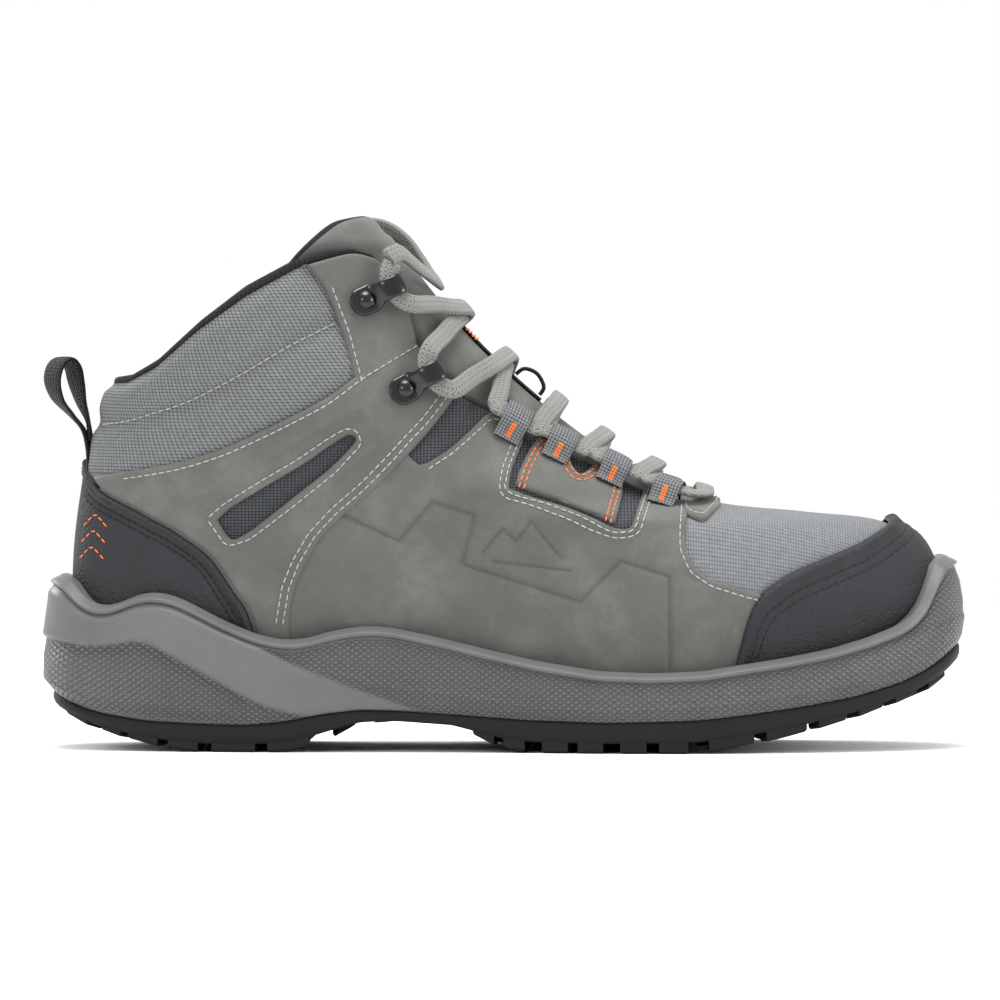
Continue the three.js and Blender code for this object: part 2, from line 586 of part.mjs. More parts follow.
const slab = (d, h, low, high) => skin([ring(h, d, low), ring(h, d, high)]);
add("lasting_board", slab(OUTSIDE - 2.2, 0, -BOARD - SEAM, -SEAM), "board");
const FOOTBED_IN = LINED - LINING - 0.9;
const footbed = slab(FOOTBED_IN, 0.015, 0.4, FOOTBED + 0.4);
const FOOTBED_FOLD = 40; // where the footbed bends as its heel is lifted
const cutAt = (x0, x1) => toSolid(new THREE.BoxGeometry((x1 - x0), 200, 200).translate((x0 + x1) / 2, 0, 0));
add("footbed_front", footbed.intersect(cutAt(FOOTBED_FOLD * KX + SEAM, 200)), "foam");
add("footbed_heel", footbed.intersect(cutAt(-200, FOOTBED_FOLD * KX - SEAM)), "foam");

// The outsole: a thin plate that follows the midsole, with lugs standing down from it.
const plate = skin([
  soleRing(margins(9, 8, 8), (x) => midsoleBottom(x) - SOLE_SEAM),
  soleRing(margins(9.6, 8.4, 8.6), (x) => midsoleBottom(x) - SOLE_SEAM - OUTSOLE / 2),
  soleRing(margins(8, 7.4, 7.4), (x) => midsoleBottom(x) - SOLE_SEAM - OUTSOLE),
].reverse());
const trim = skin([soleRing(margins(8.2, 7.8, 7.8), () => -5), soleRing(margins(8.2, 7.8, 7.8), () => 60)]);
// Lugs in rows across the sole: where each row is, how long a lug is and how far the rows lean.
const LUG_ROWS = [
  { x: -134, length: 11, parts: 2 }, { x: -118, length: 13, parts: 3 }, { x: -99, length: 15, parts: 3 },
  { x: -80, length: 14, parts: 3 }, { x: -65, length: 8, parts: 2 },
  { x: 3, length: 10, parts: 3 }, { x: 20, length: 14, parts: 4 }, { x: 39, length: 14, parts: 4 },
  { x: 58, length: 14, parts: 4 }, { x: 77, length: 13, parts: 3 }, { x: 94, length: 12, parts: 3 },
  { x: 109, length: 10, parts: 3 }, { x: 123, length: 9, parts: 2 }, { x: 136, length: 9, parts: 1 },
];
const LUG_GAP = 5;
const SOLE_SPAN = 2 * 62 * KY;
const lugs = LUG_ROWS.flatMap(({ x, length, parts }) =>
  Array.from({ length: parts }, (_, k) => {
    const wide = SOLE_SPAN / (parts + (parts > 2 ? 0.6 : 0)) - LUG_GAP;
    const y = (k - (parts - 1) / 2) * (wide + LUG_GAP);
    const low = treadLine(x * KX);
    const high = midsoleBottom(x * KX) - SOLE_SEAM - OUTSOLE + LUG_ROOT;
    const lean = k === 0 || k === parts - 1 ? 0 : 2;
    const block = new THREE.BoxGeometry(length * KX, wide, high - low);
    return toSolid(block.translate(x * KX + lean, y, (high + low) / 2));
  }),
);
const tread = lugs.reduce((all, lug) => all.add(lug)).intersect(trim);
add("outsole", plate.add(tread), "rubber");

// ---------------------------------------------------------------- hooks and rivets
// The hook in profile: a plate under the rivet, then a tongue that curls up and back.
const hookProfile = () => {
  const t = HOOK_PLATE;
  const shape = new THREE.Shape();
  shape.moveTo(-4.4, 0);
  shape.lineTo(7.6, 0);
  shape.quadraticCurveTo(11.6, 0.4, 12, 3.6);
  shape.quadraticCurveTo(12, 6.6, 8.6, 6.8);
  shape.lineTo(7.6, 6.6);
  shape.lineTo(7.8, 6.8 - t);
  shape.quadraticCurveTo(10.8, 5.6, 10.8, 3.8);
  shape.quadraticCurveTo(10.6, t + 0.2, 7.2, t);
  shape.lineTo(-4.4, t);
  return shape;
};
const hookExtrusion = { depth: HOOK_WIDTH, bevelEnabled: false, curveSegments: 4 };
const hookBody = new THREE.ExtrudeGeometry(hookProfile(), hookExtrusion);
hookBody.rotateX(Math.PI / 2).translate(0, HOOK_WIDTH / 2, 0);
const rivetProfile = [
  [0, HOOK_PLATE + SEAM + 1.9],
  [RIVET_HEAD * 0.6, HOOK_PLATE + SEAM + 1.6],
  [RIVET_HEAD, HOOK_PLATE + SEAM + 0.5],
  [RIVET_HEAD, HOOK_PLATE + SEAM],
  [RIVET_SHANK, HOOK_PLATE + SEAM],
  [RIVET_SHANK, -RIVET_DEPTH],
  [0, -RIVET_DEPTH],
].reverse();
const rivetBody = new THREE.LatheGeometry(rivetProfile.map(([r, z]) => new THREE.Vector2(r, z)), 10);
rivetBody.rotateX(Math.PI / 2);
hookSeats.forEach((s, i) => {
  add(`hook_${s.name}`, placed(hookBody, s, HOOK_LIFT).subtract(rivetHoles[i]), "metal");
  add(`rivet_${s.name}`, placed(rivetBody, s, HOOK_LIFT), "metal");
});

// ---------------------------------------------------------------- lace loops
// Webbing tubes along the eyestay edge, numbered from the top down.
// Each loop's x, z, lift off the leather, and slope.
const LOOPS = [
  [2.6, 104.6, 0.9, 3.2],
  [17.6, 97, 0.5, 3],
  [34.8, 88.4, 0.6, 2.8],
  [52.4, 79.8, 1.4, 1.4],
];
const LOOP_LIFT = PANEL + LEATHER + SEAM;
const loopSection = () => {
  const [w, h] = [LACE_WIDTH / 2 + LOOP_ROOM, LACE_THICK + 2 * LOOP_ROOM];
  const box = (x, low, high, corner) => {
    const p = new THREE.Path();
    p.moveTo(-x, low);
    p.lineTo(x, low);
    p.lineTo(x, high - corner);
    p.lineTo(x - corner, high);
    p.lineTo(corner - x, high);
    p.lineTo(-x, high - corner);
    p.closePath();
    return p;
  };
  const shape = new THREE.Shape(box(w + LOOP_WALL, 0, h + 2 * LOOP_WALL, 1).getPoints());
  shape.holes.push(box(w, LOOP_WALL, LOOP_WALL + h, 0.6));
  return shape;
};
const loopBody = new THREE.ExtrudeGeometry(loopSection(), { depth: LOOP_LENGTH, bevelEnabled: false });
loopBody.translate(0, 0, -LOOP_LENGTH / 2);
const LACE_LIFT = LOOP_LIFT + LOOP_WALL + LOOP_ROOM + LACE_THICK / 2; // middle of the lace in a loop
const loopSeats = {};
for (const { side, isLateral } of SIDES) {
  loopSeats[side] = LOOPS.map(([x, z, lift, slope], i) => {
    const s = seat([x, z], [x + 6, z - slope], isLateral);
    s.origin.addScaledVector(s.w, lift);
    const turned = { origin: s.origin, u: s.v, v: s.w, w: s.u };
    const turn = new THREE.Matrix4().makeBasis(turned.u, turned.v, turned.w);
    turn.setPosition(s.origin.clone().addScaledVector(s.w, LOOP_LIFT));
    add(`lace_loop_${side}_${i + 1}`, toSolid(loopBody.clone().applyMatrix4(turn)), "loop");
    return s;
  });
}

// ---------------------------------------------------------------- the lace
// A flat ribbon along a route: each route point is a place and the ribbon's own normal there.
function ribbon(route, perPoint, width = LACE_WIDTH, thick = LACE_THICK) {
  const steps = (route.length - 1) * perPoint;
  const places = new THREE.CatmullRomCurve3(route.map((r) => r.at), false, "centripetal");
  const normals = new THREE.CatmullRomCurve3(route.map((r) => r.up), false, "catmullrom");
  const rings = [];
  for (let i = 0; i <= steps; i++) {
    const t = i / steps;
    const [p, tangent] = [places.getPoint(t), places.getTangent(t)];
    const n = normals.getPoint(t).addScaledVector(tangent, -normals.getPoint(t).dot(tangent)).normalize();
    const b = tangent.clone().cross(n);
    const section = Array.from({ length: 6 }, (_, k) => {
      const a = (2 * Math.PI * k) / 6;
      const [wide, high] = [(Math.cos(a) * width) / 2, (Math.sin(a) * thick) / 2];
      return p.clone().addScaledVector(b, wide).addScaledVector(n, high);
    });
    rings.push(section);
  }
  return skin(rings);
}
const spot = (at, up) => ({ at, up: up.clone().normalize() });
const inLoop = (side, i, shift) => {
  const s = loopSeats[side][i];
  return spot(s.origin.clone().addScaledVector(s.w, LACE_LIFT).addScaledVector(s.u, shift), s.w);
};
// The ring whose front end is at this drawn x.
function ringAt(x) {
  let [low, high] = [0.3, H_HIGH];
  for (let i = 0; i < 30; i++) {
    const h = (low + high) / 2;
    if (frontLine.getPoint((h - H_LOW) / (H_HIGH - H_LOW)).x > x * KX) low = h;
    else high = h;
  }
  return low;
}
// A place over the front of the boot, a turn away from the middle (positive to the outer side).
function onFront(x, turn, lift) {
  const h = ringAt(x);
  return spot(outwards(h, Math.PI - turn, lift), baseNormal(h, Math.PI - turn));
}
const HALF_LOOP = LOOP_LENGTH / 2 + 2.8;
const atHook = (index, du, dv, dw) => {
  const s = hookSeats[index];
  const at = s.origin.clone().addScaledVector(s.u, du).addScaledVector(s.v, dv);
  at.addScaledVector(s.w, HOOK_LIFT + dw);
  return spot(at, s.w);
};
// Round the neck of a hook, in from below its tip and out above it.
const roundHook = (index, side) => {
  const sign = side === "lateral" ? 1 : -1;
  const turn = [[11, -8.4], [8, -5.4], [7, -1.6], [7, 1.6], [8, 5.4], [11, 8.4]];
  return turn.map(([du, dv]) => atHook(index, du, dv * sign, 3.3));
};
const UNDER = 3.0; // middle of the lower lace at a crossing, from the face of the textile
const OVER = 5.6;
const CROSSINGS = [48, 31, 15.5, -1]; // where the laces cross over the tongue, from the toe end up
const HOOK_CROSSING = -15.5;
const HOOK_AT = { lateral: { upper: 0, lower: 1 }, medial: { upper: 2, lower: 3 } };
const other = (side) => (side === "lateral" ? "medial" : "lateral");
// From one place to another over the tongue, with a point beside the crossing on each side.
function crossing(from, to, x, lift) {
  const top = onFront(x, 0, lift);
  const onFace = (p, high) => p.at.clone().addScaledVector(p.up, -high);
  const beside = (s, share) => {
    const place = onFace(top, lift).lerp(onFace(s, LACE_LIFT), share);
    const { h, angle } = locate(place.x, place.z, s.at.y < 0);
    return spot(outwards(h, angle, mix(lift, LACE_LIFT, share)), baseNormal(h, angle));
  };
  return [beside(from, 0.65), beside(from, 0.3), top, beside(to, 0.3), beside(to, 0.65)];
}
// One strand of the lacing, from the toe end up to a top hook.
function strand(first, lift) {
  const stops = [];
  let side = first;
  LOOPS.forEach((_, k) => {
    const through = [1, 0.76, 0, -0.76, -1];
    stops.push(through.map((t) => inLoop(side, LOOPS.length - 1 - k, t * HALF_LOOP)));
    side = other(side);
  });
  stops.push(roundHook(HOOK_AT[side].lower, side));
  side = other(side);
  stops.push(roundHook(HOOK_AT[side].upper, side));
  const tops = [...CROSSINGS, HOOK_CROSSING];
  const second = OVER + UNDER - lift;
  const over = (k) => crossing(stops[k].at(-1), stops[k + 1][0], tops[k], k % 2 ? second : lift);
  return stops.flatMap((stop, k) => (k < tops.length ? [...stop, ...over(k)] : stop));
}
const BAR = [[73.4, 0.42], [67, 0.22], [64.6, 0], [67, -0.22], [73.4, -0.42]];
const bar = BAR.map(([x, turn]) => onFront(x, turn, 3.9));
export const laceRoute = [...strand("lateral", UNDER).reverse(), ...bar, ...strand("medial", OVER)];
add("lace", ribbon(laceRoute, 1), "lace");

// Its two free ends hang down outside the shaft, on the inner side. The one from the
// outer hook crosses over the tongue first. These points are chosen by hand.
const freeEnd = (points) => points.map(([x, y, z, nx, ny, nz]) => spot(vec(x, y, z), vec(nx, ny, nz)));
const besideShaft = (points) =>
  points.map(([x, z, lift]) => {
    const { h, angle } = locate(x * KX, z * KZ, false);
    return spot(outwards(h, angle, lift), baseNormal(h, angle));
  });
export const tailRoutes = {
  lateral: [
    ...freeEnd([
      [-36.9, -29.5, 158.9, 0.5, -0.7, 0.5], [-33.2, -25.2, 160.4, 0.7, -0.5, 0.5],
      [-27.8, -17.6, 156.4, 0.8, -0.3, 0.5], [-23, -9, 152.6, 0.85, -0.1, 0.5],
      [-20.9, 0, 151.2, 0.85, 0, 0.5], [-22.4, 9, 153, 0.85, 0.1, 0.5], [-26.2, 18, 158.4, 0.8, 0.3, 0.5],
      [-32, 25.6, 165, 0.6, 0.6, 0.5], [-40, 33, 169.4, 0.2, 0.85, 0.5], [-49, 39.8, 169, 0, 0.9, 0.45],
      [-56.8, 45.6, 163.4, 0, 0.95, 0.3],
    ]),
    ...besideShaft([
      [-61.6, 154, 5.9], [-64, 143, 5], [-65.4, 131, 4.9], [-66, 119, 4.9], [-66.4, 107, 4.9],
      [-66.6, 95, 5.2], [-66.8, 83, 5.6],
    ]),
  ],
  medial: [
    ...freeEnd([
      [-36.9, 29.5, 158.9, 0.5, 0.7, 0.5], [-37.6, 30.6, 162.2, 0.3, 0.8, 0.4],
      [-43, 38, 162.8, 0.05, 0.9, 0.4], [-48.6, 44, 159.6, 0, 0.95, 0.3],
    ]),
    ...besideShaft([
      [-52.8, 151.5, 5.6], [-55.2, 141.5, 5], [-56.4, 130, 4.9], [-57, 118, 4.9], [-57.4, 106, 5.2],
      [-57.6, 94, 5.6],
    ]),
  ],
};
for (const [side, route] of Object.entries(tailRoutes)) {
  add(`lace_end_${side}`, ribbon(route, 1), "lace");
  const end = route.at(-1).at;
  const aglet = new THREE.CylinderGeometry(AGLET_RADIUS, AGLET_RADIUS * 0.8, AGLET_LENGTH, 12);
  aglet.rotateX(Math.PI / 2);
  add(`aglet_${side}`, toSolid(aglet.translate(end.x, end.y, end.z - SEAM - AGLET_LENGTH / 2)), "plastic");
}

// ---------------------------------------------------------------- the pull loop and the lace keeper
const drawnRoute = (points) =>
  points.map(([x, z, nx, nz]) => spot(vec(x * KX, 0, z * KZ), vec(nx, 0, nz)));
const pullRoute = drawnRoute([
  [-133.5, 103.4, -0.8, 0.6], [-139.4, 107.4, -0.8, 0.6], [-145.2, 112.6, -0.9, 0.4], [-147, 119.4, -1, -0.1],
  [-144.2, 125, -0.6, -0.8], [-140.4, 124.6, 0.8, -0.6], [-138.4, 118.6, 1, -0.2], [-136.6, 111.6, 1, -0.2],
]);
add("pull_loop", ribbon(pullRoute, 2, PULL_WIDTH, WEBBING), "webbing");
const KEEPER_WIDTH = 6;
const KEEPER = [[11, 1.7], [10.6, 4.4], [7, 6.4], [3.8, 4.8], [3.2, 1.7]];
const keeperRoute = KEEPER.map(([x, lift]) => onFront(x, 0, lift));
add("lace_keeper", ribbon(keeperRoute, 3, KEEPER_WIDTH, 1.2), "webbing");

export default root;
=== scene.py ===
import math

import bmesh
import bpy
import numpy as np
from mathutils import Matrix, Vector, geometry
from mathutils.bvhtree import BVHTree


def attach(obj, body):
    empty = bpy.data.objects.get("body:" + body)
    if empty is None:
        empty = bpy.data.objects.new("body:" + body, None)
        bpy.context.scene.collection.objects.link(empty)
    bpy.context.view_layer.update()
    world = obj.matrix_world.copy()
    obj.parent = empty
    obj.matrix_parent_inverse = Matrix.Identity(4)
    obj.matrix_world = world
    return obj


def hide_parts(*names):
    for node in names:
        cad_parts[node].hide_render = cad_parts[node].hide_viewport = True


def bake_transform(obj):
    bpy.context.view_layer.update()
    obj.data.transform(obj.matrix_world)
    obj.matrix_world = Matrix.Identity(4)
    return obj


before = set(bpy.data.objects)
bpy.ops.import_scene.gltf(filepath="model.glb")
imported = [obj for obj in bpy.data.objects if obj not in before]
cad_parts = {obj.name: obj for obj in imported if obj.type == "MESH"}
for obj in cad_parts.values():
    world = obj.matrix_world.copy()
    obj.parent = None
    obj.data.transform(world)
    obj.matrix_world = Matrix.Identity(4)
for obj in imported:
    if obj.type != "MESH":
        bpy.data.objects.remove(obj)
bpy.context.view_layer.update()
BODY = "boot"

# ------------------------------------------------------------ the last
# The upper is pulled over a last, a foot-shaped block, and every panel takes its curves from it. Rings go
# round it from the heel to the toe or instep and back: ring 0 is at the sole, ring 1 close to the collar.
H_LOW, H_HIGH = -0.1, 1.2
HEEL_LINE = [
    (-129, 18), (-133, 28), (-135.8, 38), (-136.8, 48), (-136.8, 58), (-136.3, 67), (-135.3, 76),
    (-134, 85), (-132.8, 94), (-131.7, 102), (-129.5, 110), (-126, 119), (-122.5, 128), (-119, 137),
]
FRONT_LINE = [
    (131, 30), (136, 40), (139.5, 50), (138, 60.5), (132.5, 68.5), (121, 74), (98, 76.5),
    (66, 80.5), (38, 93.5), (13, 111.5), (-12, 135), (-35, 164), (-52, 188), (-66, 210),
]
HALF_WIDTHS = {  # at rings 0, 0.2, ... 1: heel, waist and ball
    "lateral": ([37, 40, 40, 39.5, 38, 38], [34, 38, 38, 38, 38, 39], [50, 54, 52, 45, 38, 36]),
    "medial": ([37, 40, 40, 39.5, 38, 38], [29, 33, 35, 37, 38, 39], [47, 50, 48, 43, 38, 36]),
}
HEEL_AT, WAIST_AT, BALL_AT = 0.15, 0.42, 0.76
SOLE_DIP = 16
TOE_SWING = 5
OFFSET = 0.77
DIP_TOP = 0.45
RAY_START, SHORT_RAY = 200.0, 150


def smooth(low, high, v):
    t = np.clip((np.asarray(v, float) - low) / (high - low), 0, 1)
    return t * t * (3 - 2 * t)


def mix(a, b, t):
    return a + (b - a) * t


def spline(points, t):
    """A uniform Catmull-Rom line through the points, at t from 0 to 1."""
    p = np.asarray(points, float)
    n = len(p)
    u = np.clip(np.asarray(t, float), 0, 1) * (n - 1)
    i = np.minimum(u.astype(int), n - 2)
    w = (u - i)[..., None]
    p0, p1, p2, p3 = p[np.maximum(i - 1, 0)], p[i], p[i + 1], p[np.minimum(i + 2, n - 1)]
    v0, v1 = (p2 - p0) / 2, (p3 - p1) / 2
    return (2 * p1 - 2 * p2 + v0 + v1) * w**3 + (-3 * p1 + 3 * p2 - 2 * v0 - v1) * w**2 + v0 * w + p1


def half_width(h, along, side):
    def at(values):
        t = np.clip(h * 5, 0, 4.999)
        i = t.astype(int)
        values = np.asarray(values, float)
        return mix(values[i], values[i + 1], smooth(0, 1, t - i))

    heel, waist, ball = (at(v) for v in HALF_WIDTHS[side])
    return mix(mix(heel, waist, smooth(HEEL_AT, WAIST_AT, along)), ball, smooth(WAIST_AT, BALL_AT, along))


def last_point(h, angle):
    h, angle = np.broadcast_arrays(np.asarray(h, float), np.asarray(angle, float))
    t = (h - H_LOW) / (H_HIGH - H_LOW)
    b, f = spline(HEEL_LINE, t), spline(FRONT_LINE, t)
    along, across = (1 - np.cos(angle)) / 2, np.sin(angle)
    x = mix(b[..., 0], f[..., 0], along)
    fade = np.maximum(0, 1 - np.maximum(0, h) / DIP_TOP) ** 2
    z = mix(b[..., 1], f[..., 1], along) - SOLE_DIP * np.sin(np.pi * along**2) * fade
    wide = np.where(across > 0, half_width(h, along, "lateral"), half_width(h, along, "medial"))
    blunt = mix(0.6, 0.85, smooth(0.1, 0.8, h))
    y = -np.sign(across) * wide * np.abs(across) ** blunt
    return np.stack([x, y + OFFSET + TOE_SWING * smooth(20, 140, x), z], -1)


def unit(v):
    return v / np.maximum(np.linalg.norm(v, axis=-1, keepdims=True), 1e-12)


def last_normal(h, angle):
    e = 0.004
    up = last_point(np.asarray(h) + e, angle) - last_point(np.asarray(h) - e, angle)
    around = last_point(h, np.asarray(angle) + e) - last_point(h, np.asarray(angle) - e)
    return unit(np.cross(around, up))


def run_of(points):
    """How far along a line each of its points is."""
    return np.concatenate([[0], np.cumsum(np.linalg.norm(np.diff(points, axis=0), axis=1))])


def even_angles(h, count):
    """Angles from the heel to the toe that are evenly spaced along ring h."""
    t = np.linspace(0, 1, 900)
    angle = np.pi * (t - 0.93 * np.sin(2 * np.pi * t) / (2 * np.pi))
    length = run_of(last_point(h, angle))
    return np.interp(np.linspace(0, length[-1], count), length, angle)


# The last as a fine mesh, onto which panels are projected.
RINGS, PER_SIDE = 170, 300
ring_h = np.linspace(H_LOW, H_HIGH, RINGS)
half_angles = np.array([even_angles(h, PER_SIDE + 1) for h in ring_h])
ring_angles = np.concatenate([half_angles, 2 * np.pi - half_angles[:, -2:0:-1]], axis=1)
last_grid = last_point(ring_h[:, None], ring_angles)
COLS = last_grid.shape[1]
grid_up = np.gradient(last_grid, axis=0)
grid_round = np.roll(last_grid, -1, axis=1) - np.roll(last_grid, 1, axis=1)
last_grid_normals = unit(np.cross(grid_round, grid_up))


def grid_faces(rows, cols, wrap=False, flip=False):
    r, c = np.meshgrid(np.arange(rows - 1), np.arange(cols if wrap else cols - 1), indexing="ij")
    c2 = (c + 1) % cols
    quads = np.stack(
        [r * cols + c, r * cols + c2, (r + 1) * cols + c2, (r + 1) * cols + c], -1
    ).reshape(-1, 4)
    return quads[:, ::-1] if flip else quads


last_tree = BVHTree.FromPolygons(
    last_grid.reshape(-1, 3).tolist(), grid_faces(RINGS, COLS, wrap=True).tolist()
)


def cast(origins, directions):
    """Where rays meet the last: the places and the last's smooth normals there."""
    places, normals = np.empty((len(origins), 3)), np.empty((len(origins), 3))
    for k, (o, d) in enumerate(zip(origins.tolist(), directions.tolist())):
        spot, _, face, _ = last_tree.ray_cast(o, d)
        if spot is None:
            spot, _, face, _ = last_tree.find_nearest(Vector(o) + Vector(d) * RAY_START)
        r, c = divmod(face, COLS)
        c2 = (c + 1) % COLS
        p = np.array(spot)
        corner, e1 = last_grid[r, c], last_grid[r, c2] - last_grid[r, c]
        e2 = last_grid[r + 1, c] - last_grid[r, c]
        s = min(1.0, max(0.0, float((p - corner) @ e1 / (e1 @ e1 + 1e-9))))
        t = min(1.0, max(0.0, float((p - corner) @ e2 / (e2 @ e2 + 1e-9))))
        low = last_grid_normals[r, c] * (1 - s) + last_grid_normals[r, c2] * s
        high = last_grid_normals[r + 1, c] * (1 - s) + last_grid_normals[r + 1, c2] * s
        places[k], normals[k] = p, low * (1 - t) + high * t
    return places, unit(normals)


# Flat maps of the last. Each turns places into map points, about a millimetre to a millimetre, and back
# to rays.
class SideMap:
    """The side view: x and z."""

    def __init__(self, side):
        self.sign = -1 if side == "lateral" else 1

    def flat(self, places):
        return places[:, [0, 2]]

    def rays(self, points):
        n = len(points)
        origins = np.column_stack([points[:, 0], np.full(n, RAY_START * self.sign), points[:, 1]])
        return origins, np.tile([0.0, -self.sign, 0.0], (n, 1))


class PostMap:
    """Round an upright post: the turn about it and the height, for what wraps the heel."""

    RADIUS = 38.0

    def __init__(self, x):
        self.x = x

    def flat(self, places):
        turn = np.arctan2(-(places[:, 1] - OFFSET), -(places[:, 0] - self.x))
        return np.column_stack([turn * self.RADIUS, places[:, 2]])

    def rays(self, points):
        turn = points[:, 0] / self.RADIUS
        out = np.column_stack([-np.cos(turn), -np.sin(turn), np.zeros(len(points))])
        return out * RAY_START + [self.x, OFFSET, 0] + points[:, 1:] * [0, 0, 1], -out


class SpindleMap:
    """Round a level spindle inside the forefoot: x and the turn about it, for what wraps the instep."""

    RADIUS = 42.0
    HEIGHT = 26.0
    Y = 4.0

    def flat(self, places):
        turn = np.arctan2(places[:, 1] - self.Y, places[:, 2] - self.HEIGHT)
        return np.column_stack([places[:, 0], turn * self.RADIUS])

    def rays(self, points):
        turn = points[:, 1] / self.RADIUS
        out = np.column_stack([np.zeros(len(points)), np.sin(turn), np.cos(turn)])
        return out * SHORT_RAY + [0, self.Y, self.HEIGHT] + points[:, :1] * [1, 0, 0], -out


class BallMap:
    """Round a point inside the toe: the bearing and the rise, for what wraps the toe."""

    RADIUS = 46.0
    CENTRE = np.array([86.0, 3.5, 14.0])

    def flat(self, places):
        d = places - self.CENTRE
        bearing = np.arctan2(d[:, 1], d[:, 0])
        rise = np.arctan2(d[:, 2], np.hypot(d[:, 0], d[:, 1]))
        return np.column_stack([bearing, rise]) * self.RADIUS

    def rays(self, points):
        bearing, rise = points[:, 0] / self.RADIUS, points[:, 1] / self.RADIUS
        out = np.column_stack([np.cos(rise) * np.cos(bearing), np.cos(rise) * np.sin(bearing), np.sin(rise)])
        return out * SHORT_RAY + self.CENTRE, -out


def locate(x, z, side):
    """The ring and the angle of a side-view point."""
    low, high = H_LOW, H_HIGH
    along = 0.0
    for _ in range(40):
        h = (low + high) / 2
        t = (h - H_LOW) / (H_HIGH - H_LOW)
        b, f = spline(HEEL_LINE, t), spline(FRONT_LINE, t)
        along = (x - b[0]) / (f[0] - b[0])
        fade = max(0, 1 - max(0, h) / DIP_TOP) ** 2
        inside = min(1, max(0, along))
        height = mix(b[1], f[1], inside) - SOLE_DIP * math.sin(math.pi * inside**2) * fade
        if along > 1 or height > z:
            high = h
        else:
            low = h
    angle = math.acos(1 - 2 * min(1, max(0, along)))
    return (low + high) / 2, angle if side == "lateral" else 2 * math.pi - angle


def on_last(points, side):
    """Places on the last of side-view points."""
    return np.array([last_point(*locate(x, z, side)) for x, z in points])


MM = 0.001


def placed(name, data):
    """A new object, linked into the scene."""
    obj = bpy.data.objects.new(name, data)
    bpy.context.scene.collection.objects.link(obj)
    return obj


def make(name, places, faces, uv=None, material=None, body=BODY, shade=True):
    """A mesh object from places in millimetres, riding on a body."""
    mesh = bpy.data.meshes.new(name)
    mesh.from_pydata((np.asarray(places) * MM).tolist(), [], [list(f) for f in faces])
    if uv is not None:
        layer = mesh.uv_layers.new(name="UVMap")
        corners = np.empty(len(mesh.loops), dtype=np.int32)
        mesh.loops.foreach_get("vertex_index", corners)
        layer.data.foreach_set("uv", (np.asarray(uv) * MM)[corners].astype(np.float32).ravel())
    mesh.polygons.foreach_set("use_smooth", [shade] * len(mesh.polygons))
    obj = placed(name, mesh)
    if material:
        mesh.materials.append(material)
    if body:
        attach(obj, body)
    return obj


def face_out(obj, weld=None):
    """Turns every face outward, once points within weld millimetres are joined."""
    bm = bmesh.new()
    bm.from_mesh(obj.data)
    if weld:
        bmesh.ops.remove_doubles(bm, verts=bm.verts, dist=weld * MM)
    bmesh.ops.recalc_face_normals(bm, faces=bm.faces)
    bm.to_mesh(obj.data)
    bm.free()


def colour(hexa):
    """An sRGB hex colour as linear red, green, blue and alpha."""
    parts = [int(hexa[i : i + 2], 16) / 255 for i in (1, 3, 5)]
    return [v / 12.92 if v <= 0.04045 else ((v + 0.055) / 1.055) ** 2.4 for v in parts] + [1.0]


def node(tree, kind, inputs=None, **settings):
    """Adds a node, sets its properties, and sets or links its inputs."""
    made = tree.nodes.new(kind)
    for key, value in settings.items():
        setattr(made, key, value)
    for key, value in (inputs or {}).items():
        if isinstance(value, bpy.types.NodeSocket):
            tree.links.new(value, made.inputs[key])
        else:
            made.inputs[key].default_value = value
    return made


MATT = 0.2


def finish(name, tone=None, **values):
    """A new material whose Principled shader has this colour and these values."""
    material = bpy.data.materials.new(name)
    material.use_nodes = True
    inputs = material.node_tree.nodes["Principled BSDF"].inputs
    inputs["Specular IOR Level"].default_value = MATT
    if tone:
        inputs["Base Color"].default_value = colour(tone)
    for key, value in values.items():
        inputs[key.replace("_", " ")].default_value = value
    return material


def skin(material, tint, normal):
    """The material, with a colour and a normal linked to its shader."""
    tree = material.node_tree
    inputs = tree.nodes["Principled BSDF"].inputs
    tree.links.new(tint, inputs["Base Color"])
    tree.links.new(normal, inputs["Normal"])
    return material


def per_mm(size):
    """A texture's scale for features of this many millimetres."""
    return 1 / (size * MM)


def maths(tree, operation, *values):
    return node(tree, "ShaderNodeMath", dict(enumerate(values)), operation=operation).outputs[0]


def arches(tree, value, turn):
    """A row of arches from 0 to 1 and back, along the value."""
    return maths(tree, "ABSOLUTE", maths(tree, "SINE", maths(tree, "MULTIPLY", value, turn)))


def mixed(tree, share, low, high):
    """The colour this share of the way from low to high."""
    return node(tree, "ShaderNodeMix", {0: share, 6: low, 7: high}, data_type="RGBA").outputs[2]


def dimmed(tree, tint, by):
    return node(tree, "ShaderNodeVectorMath", {0: tint, "Scale": by}, operation="SCALE").outputs[0]


def spread(tree, value, low, high, to_low=0.0, to_high=1.0):
    """The value, carried from one range to another and held there."""
    inputs = {0: value, 1: low, 2: high, 3: to_low, 4: to_high}
    return node(tree, "ShaderNodeMapRange", inputs).outputs[0]


def noise(tree, size, detail, **more):
    """Clouds in the object's own space, with features of this many millimetres."""
    place = node(tree, "ShaderNodeTexCoord").outputs["Object"]
    inputs = {"Vector": place, "Scale": per_mm(size), "Detail": detail, **more}
    return node(tree, "ShaderNodeTexNoise", inputs).outputs["Fac"]


def uv_ways(tree):
    """The two directions of the UV map."""
    place = node(tree, "ShaderNodeTexCoord").outputs["UV"]
    split = node(tree, "ShaderNodeSeparateXYZ", {"Vector": place})
    return split.outputs["X"], split.outputs["Y"]


def bumped(tree, height, strength, depth, under=None, invert=False):
    """The normal of a surface with this relief, in millimetres, over another."""
    inputs = {"Height": height, "Strength": strength, "Distance": depth * MM}
    if under:
        inputs["Normal"] = under
    return node(tree, "ShaderNodeBump", inputs, invert=invert).outputs[0]


